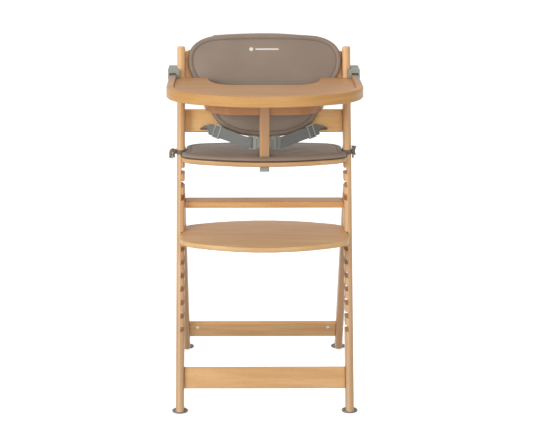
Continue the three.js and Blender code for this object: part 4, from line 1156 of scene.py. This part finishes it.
# ---- Harness ----
STRAP_TOP = Vector((118, 213, 603.5))
STRAP_END = Vector((37.5, 140, 588))
STRAP_RUN = (STRAP_END - STRAP_TOP).normalized()
STRAP_WIDE = Vector((-0.3, 0.134, 0.93))
STRAP_WIDE = (STRAP_WIDE - STRAP_RUN * STRAP_WIDE.dot(STRAP_RUN)).normalized()
STRAP_FACE = STRAP_WIDE.cross(STRAP_RUN)
SLOT_X, SLOT_Z = 133.0, 602.5  # middle of the lower back board's slot
BOARD_FRONT, BOARD_BACK = 5.6, 19.6  # the board's faces, back from the plane of the posts' middle


def waist_strap(sag):
    """Stations of a waist strap: from behind the board, through slider and tongue, and back underneath."""
    front = post_y(SLOT_Z, BOARD_FRONT)
    back = post_y(SLOT_Z, BOARD_BACK)
    length = (STRAP_END - STRAP_TOP).length

    def on_strap(distance, out, drop=0.0):
        place = STRAP_TOP + STRAP_RUN * distance + STRAP_FACE * out - Vector((0, 0, drop))
        return tuple(place), tuple(STRAP_WIDE)

    flat = (1, 0, 0)
    stations = [((SLOT_X, back + 7, SLOT_Z), flat), ((SLOT_X, front - 1, SLOT_Z), flat)]
    stations += [((SLOT_X - 2, front - 8, SLOT_Z + 0.6), (0.85, 0.4, 0.3))]
    # Both layers stay inside the slider's sleeve, 1.4 mm to each side, over the whole of its travel
    reach = ((-10, -0.3), (-4, -0.3), (3, 0.3), (9, 0.6), (18, 0.7), (27, 0.7), (42, 0.7), (56, 0.7))
    stations += [on_strap(distance, out) for distance, out in reach]
    stations += [on_strap(length * share, 0.9, sag) for share in (0.7, 0.88)]
    gathered = (0, 0, 0.97)
    round_bar = ((38.6, 137.6), (36.0, 135.2), (28.6, 134.4), (26.6, 137.2))
    round_bar += ((26.6, 142.8), (28.6, 145.4), (36.8, 144.4))
    stations += [((x, y, STRAP_END.z), gathered) for x, y in round_bar]
    stations += [on_strap(length * share, -1.2, sag) for share in (0.88, 0.7)]
    return stations + [on_strap(distance, -0.7) for distance in (56, 42, 27.5)]


def make_harness():
    back = post_y(SLOT_Z, BOARD_BACK)
    hem = [((SLOT_X, back + 8.6, SLOT_Z), (1, 0, 0)), ((SLOT_X, back + 3.4, SLOT_Z), (1, 0, 0))]
    for side, sag in (("right", 0.8), ("left", 1.4)):
        runs = [(waist_strap(sag), 25.0, 1.25, 3, 0), (hem, 30.0, 6.5, 0, 0)]
        if side == "left":
            runs = [(mirrored_stations(run[0]), *run[1:]) for run in runs]
        band("waist_webbing_" + side, runs, "frame", WEBBING, "webbing", "waist_strap_" + side)
    crotch = [(0, 140, 578), (0, 141, 572), (0, 152.5, 567), (0, 155, 561), (0, 155, 530)]
    stations = [(place, (1, 0, 0)) for place in crotch]
    band("crotch_webbing", [(stations, 25.0, 1.25, 3, 0)], "frame", WEBBING, "webbing", "crotch_strap")


set_camera()
set_studio()
dress_wood()
dress_hardware()
make_pads()
make_hood()
make_ties()
make_harness()
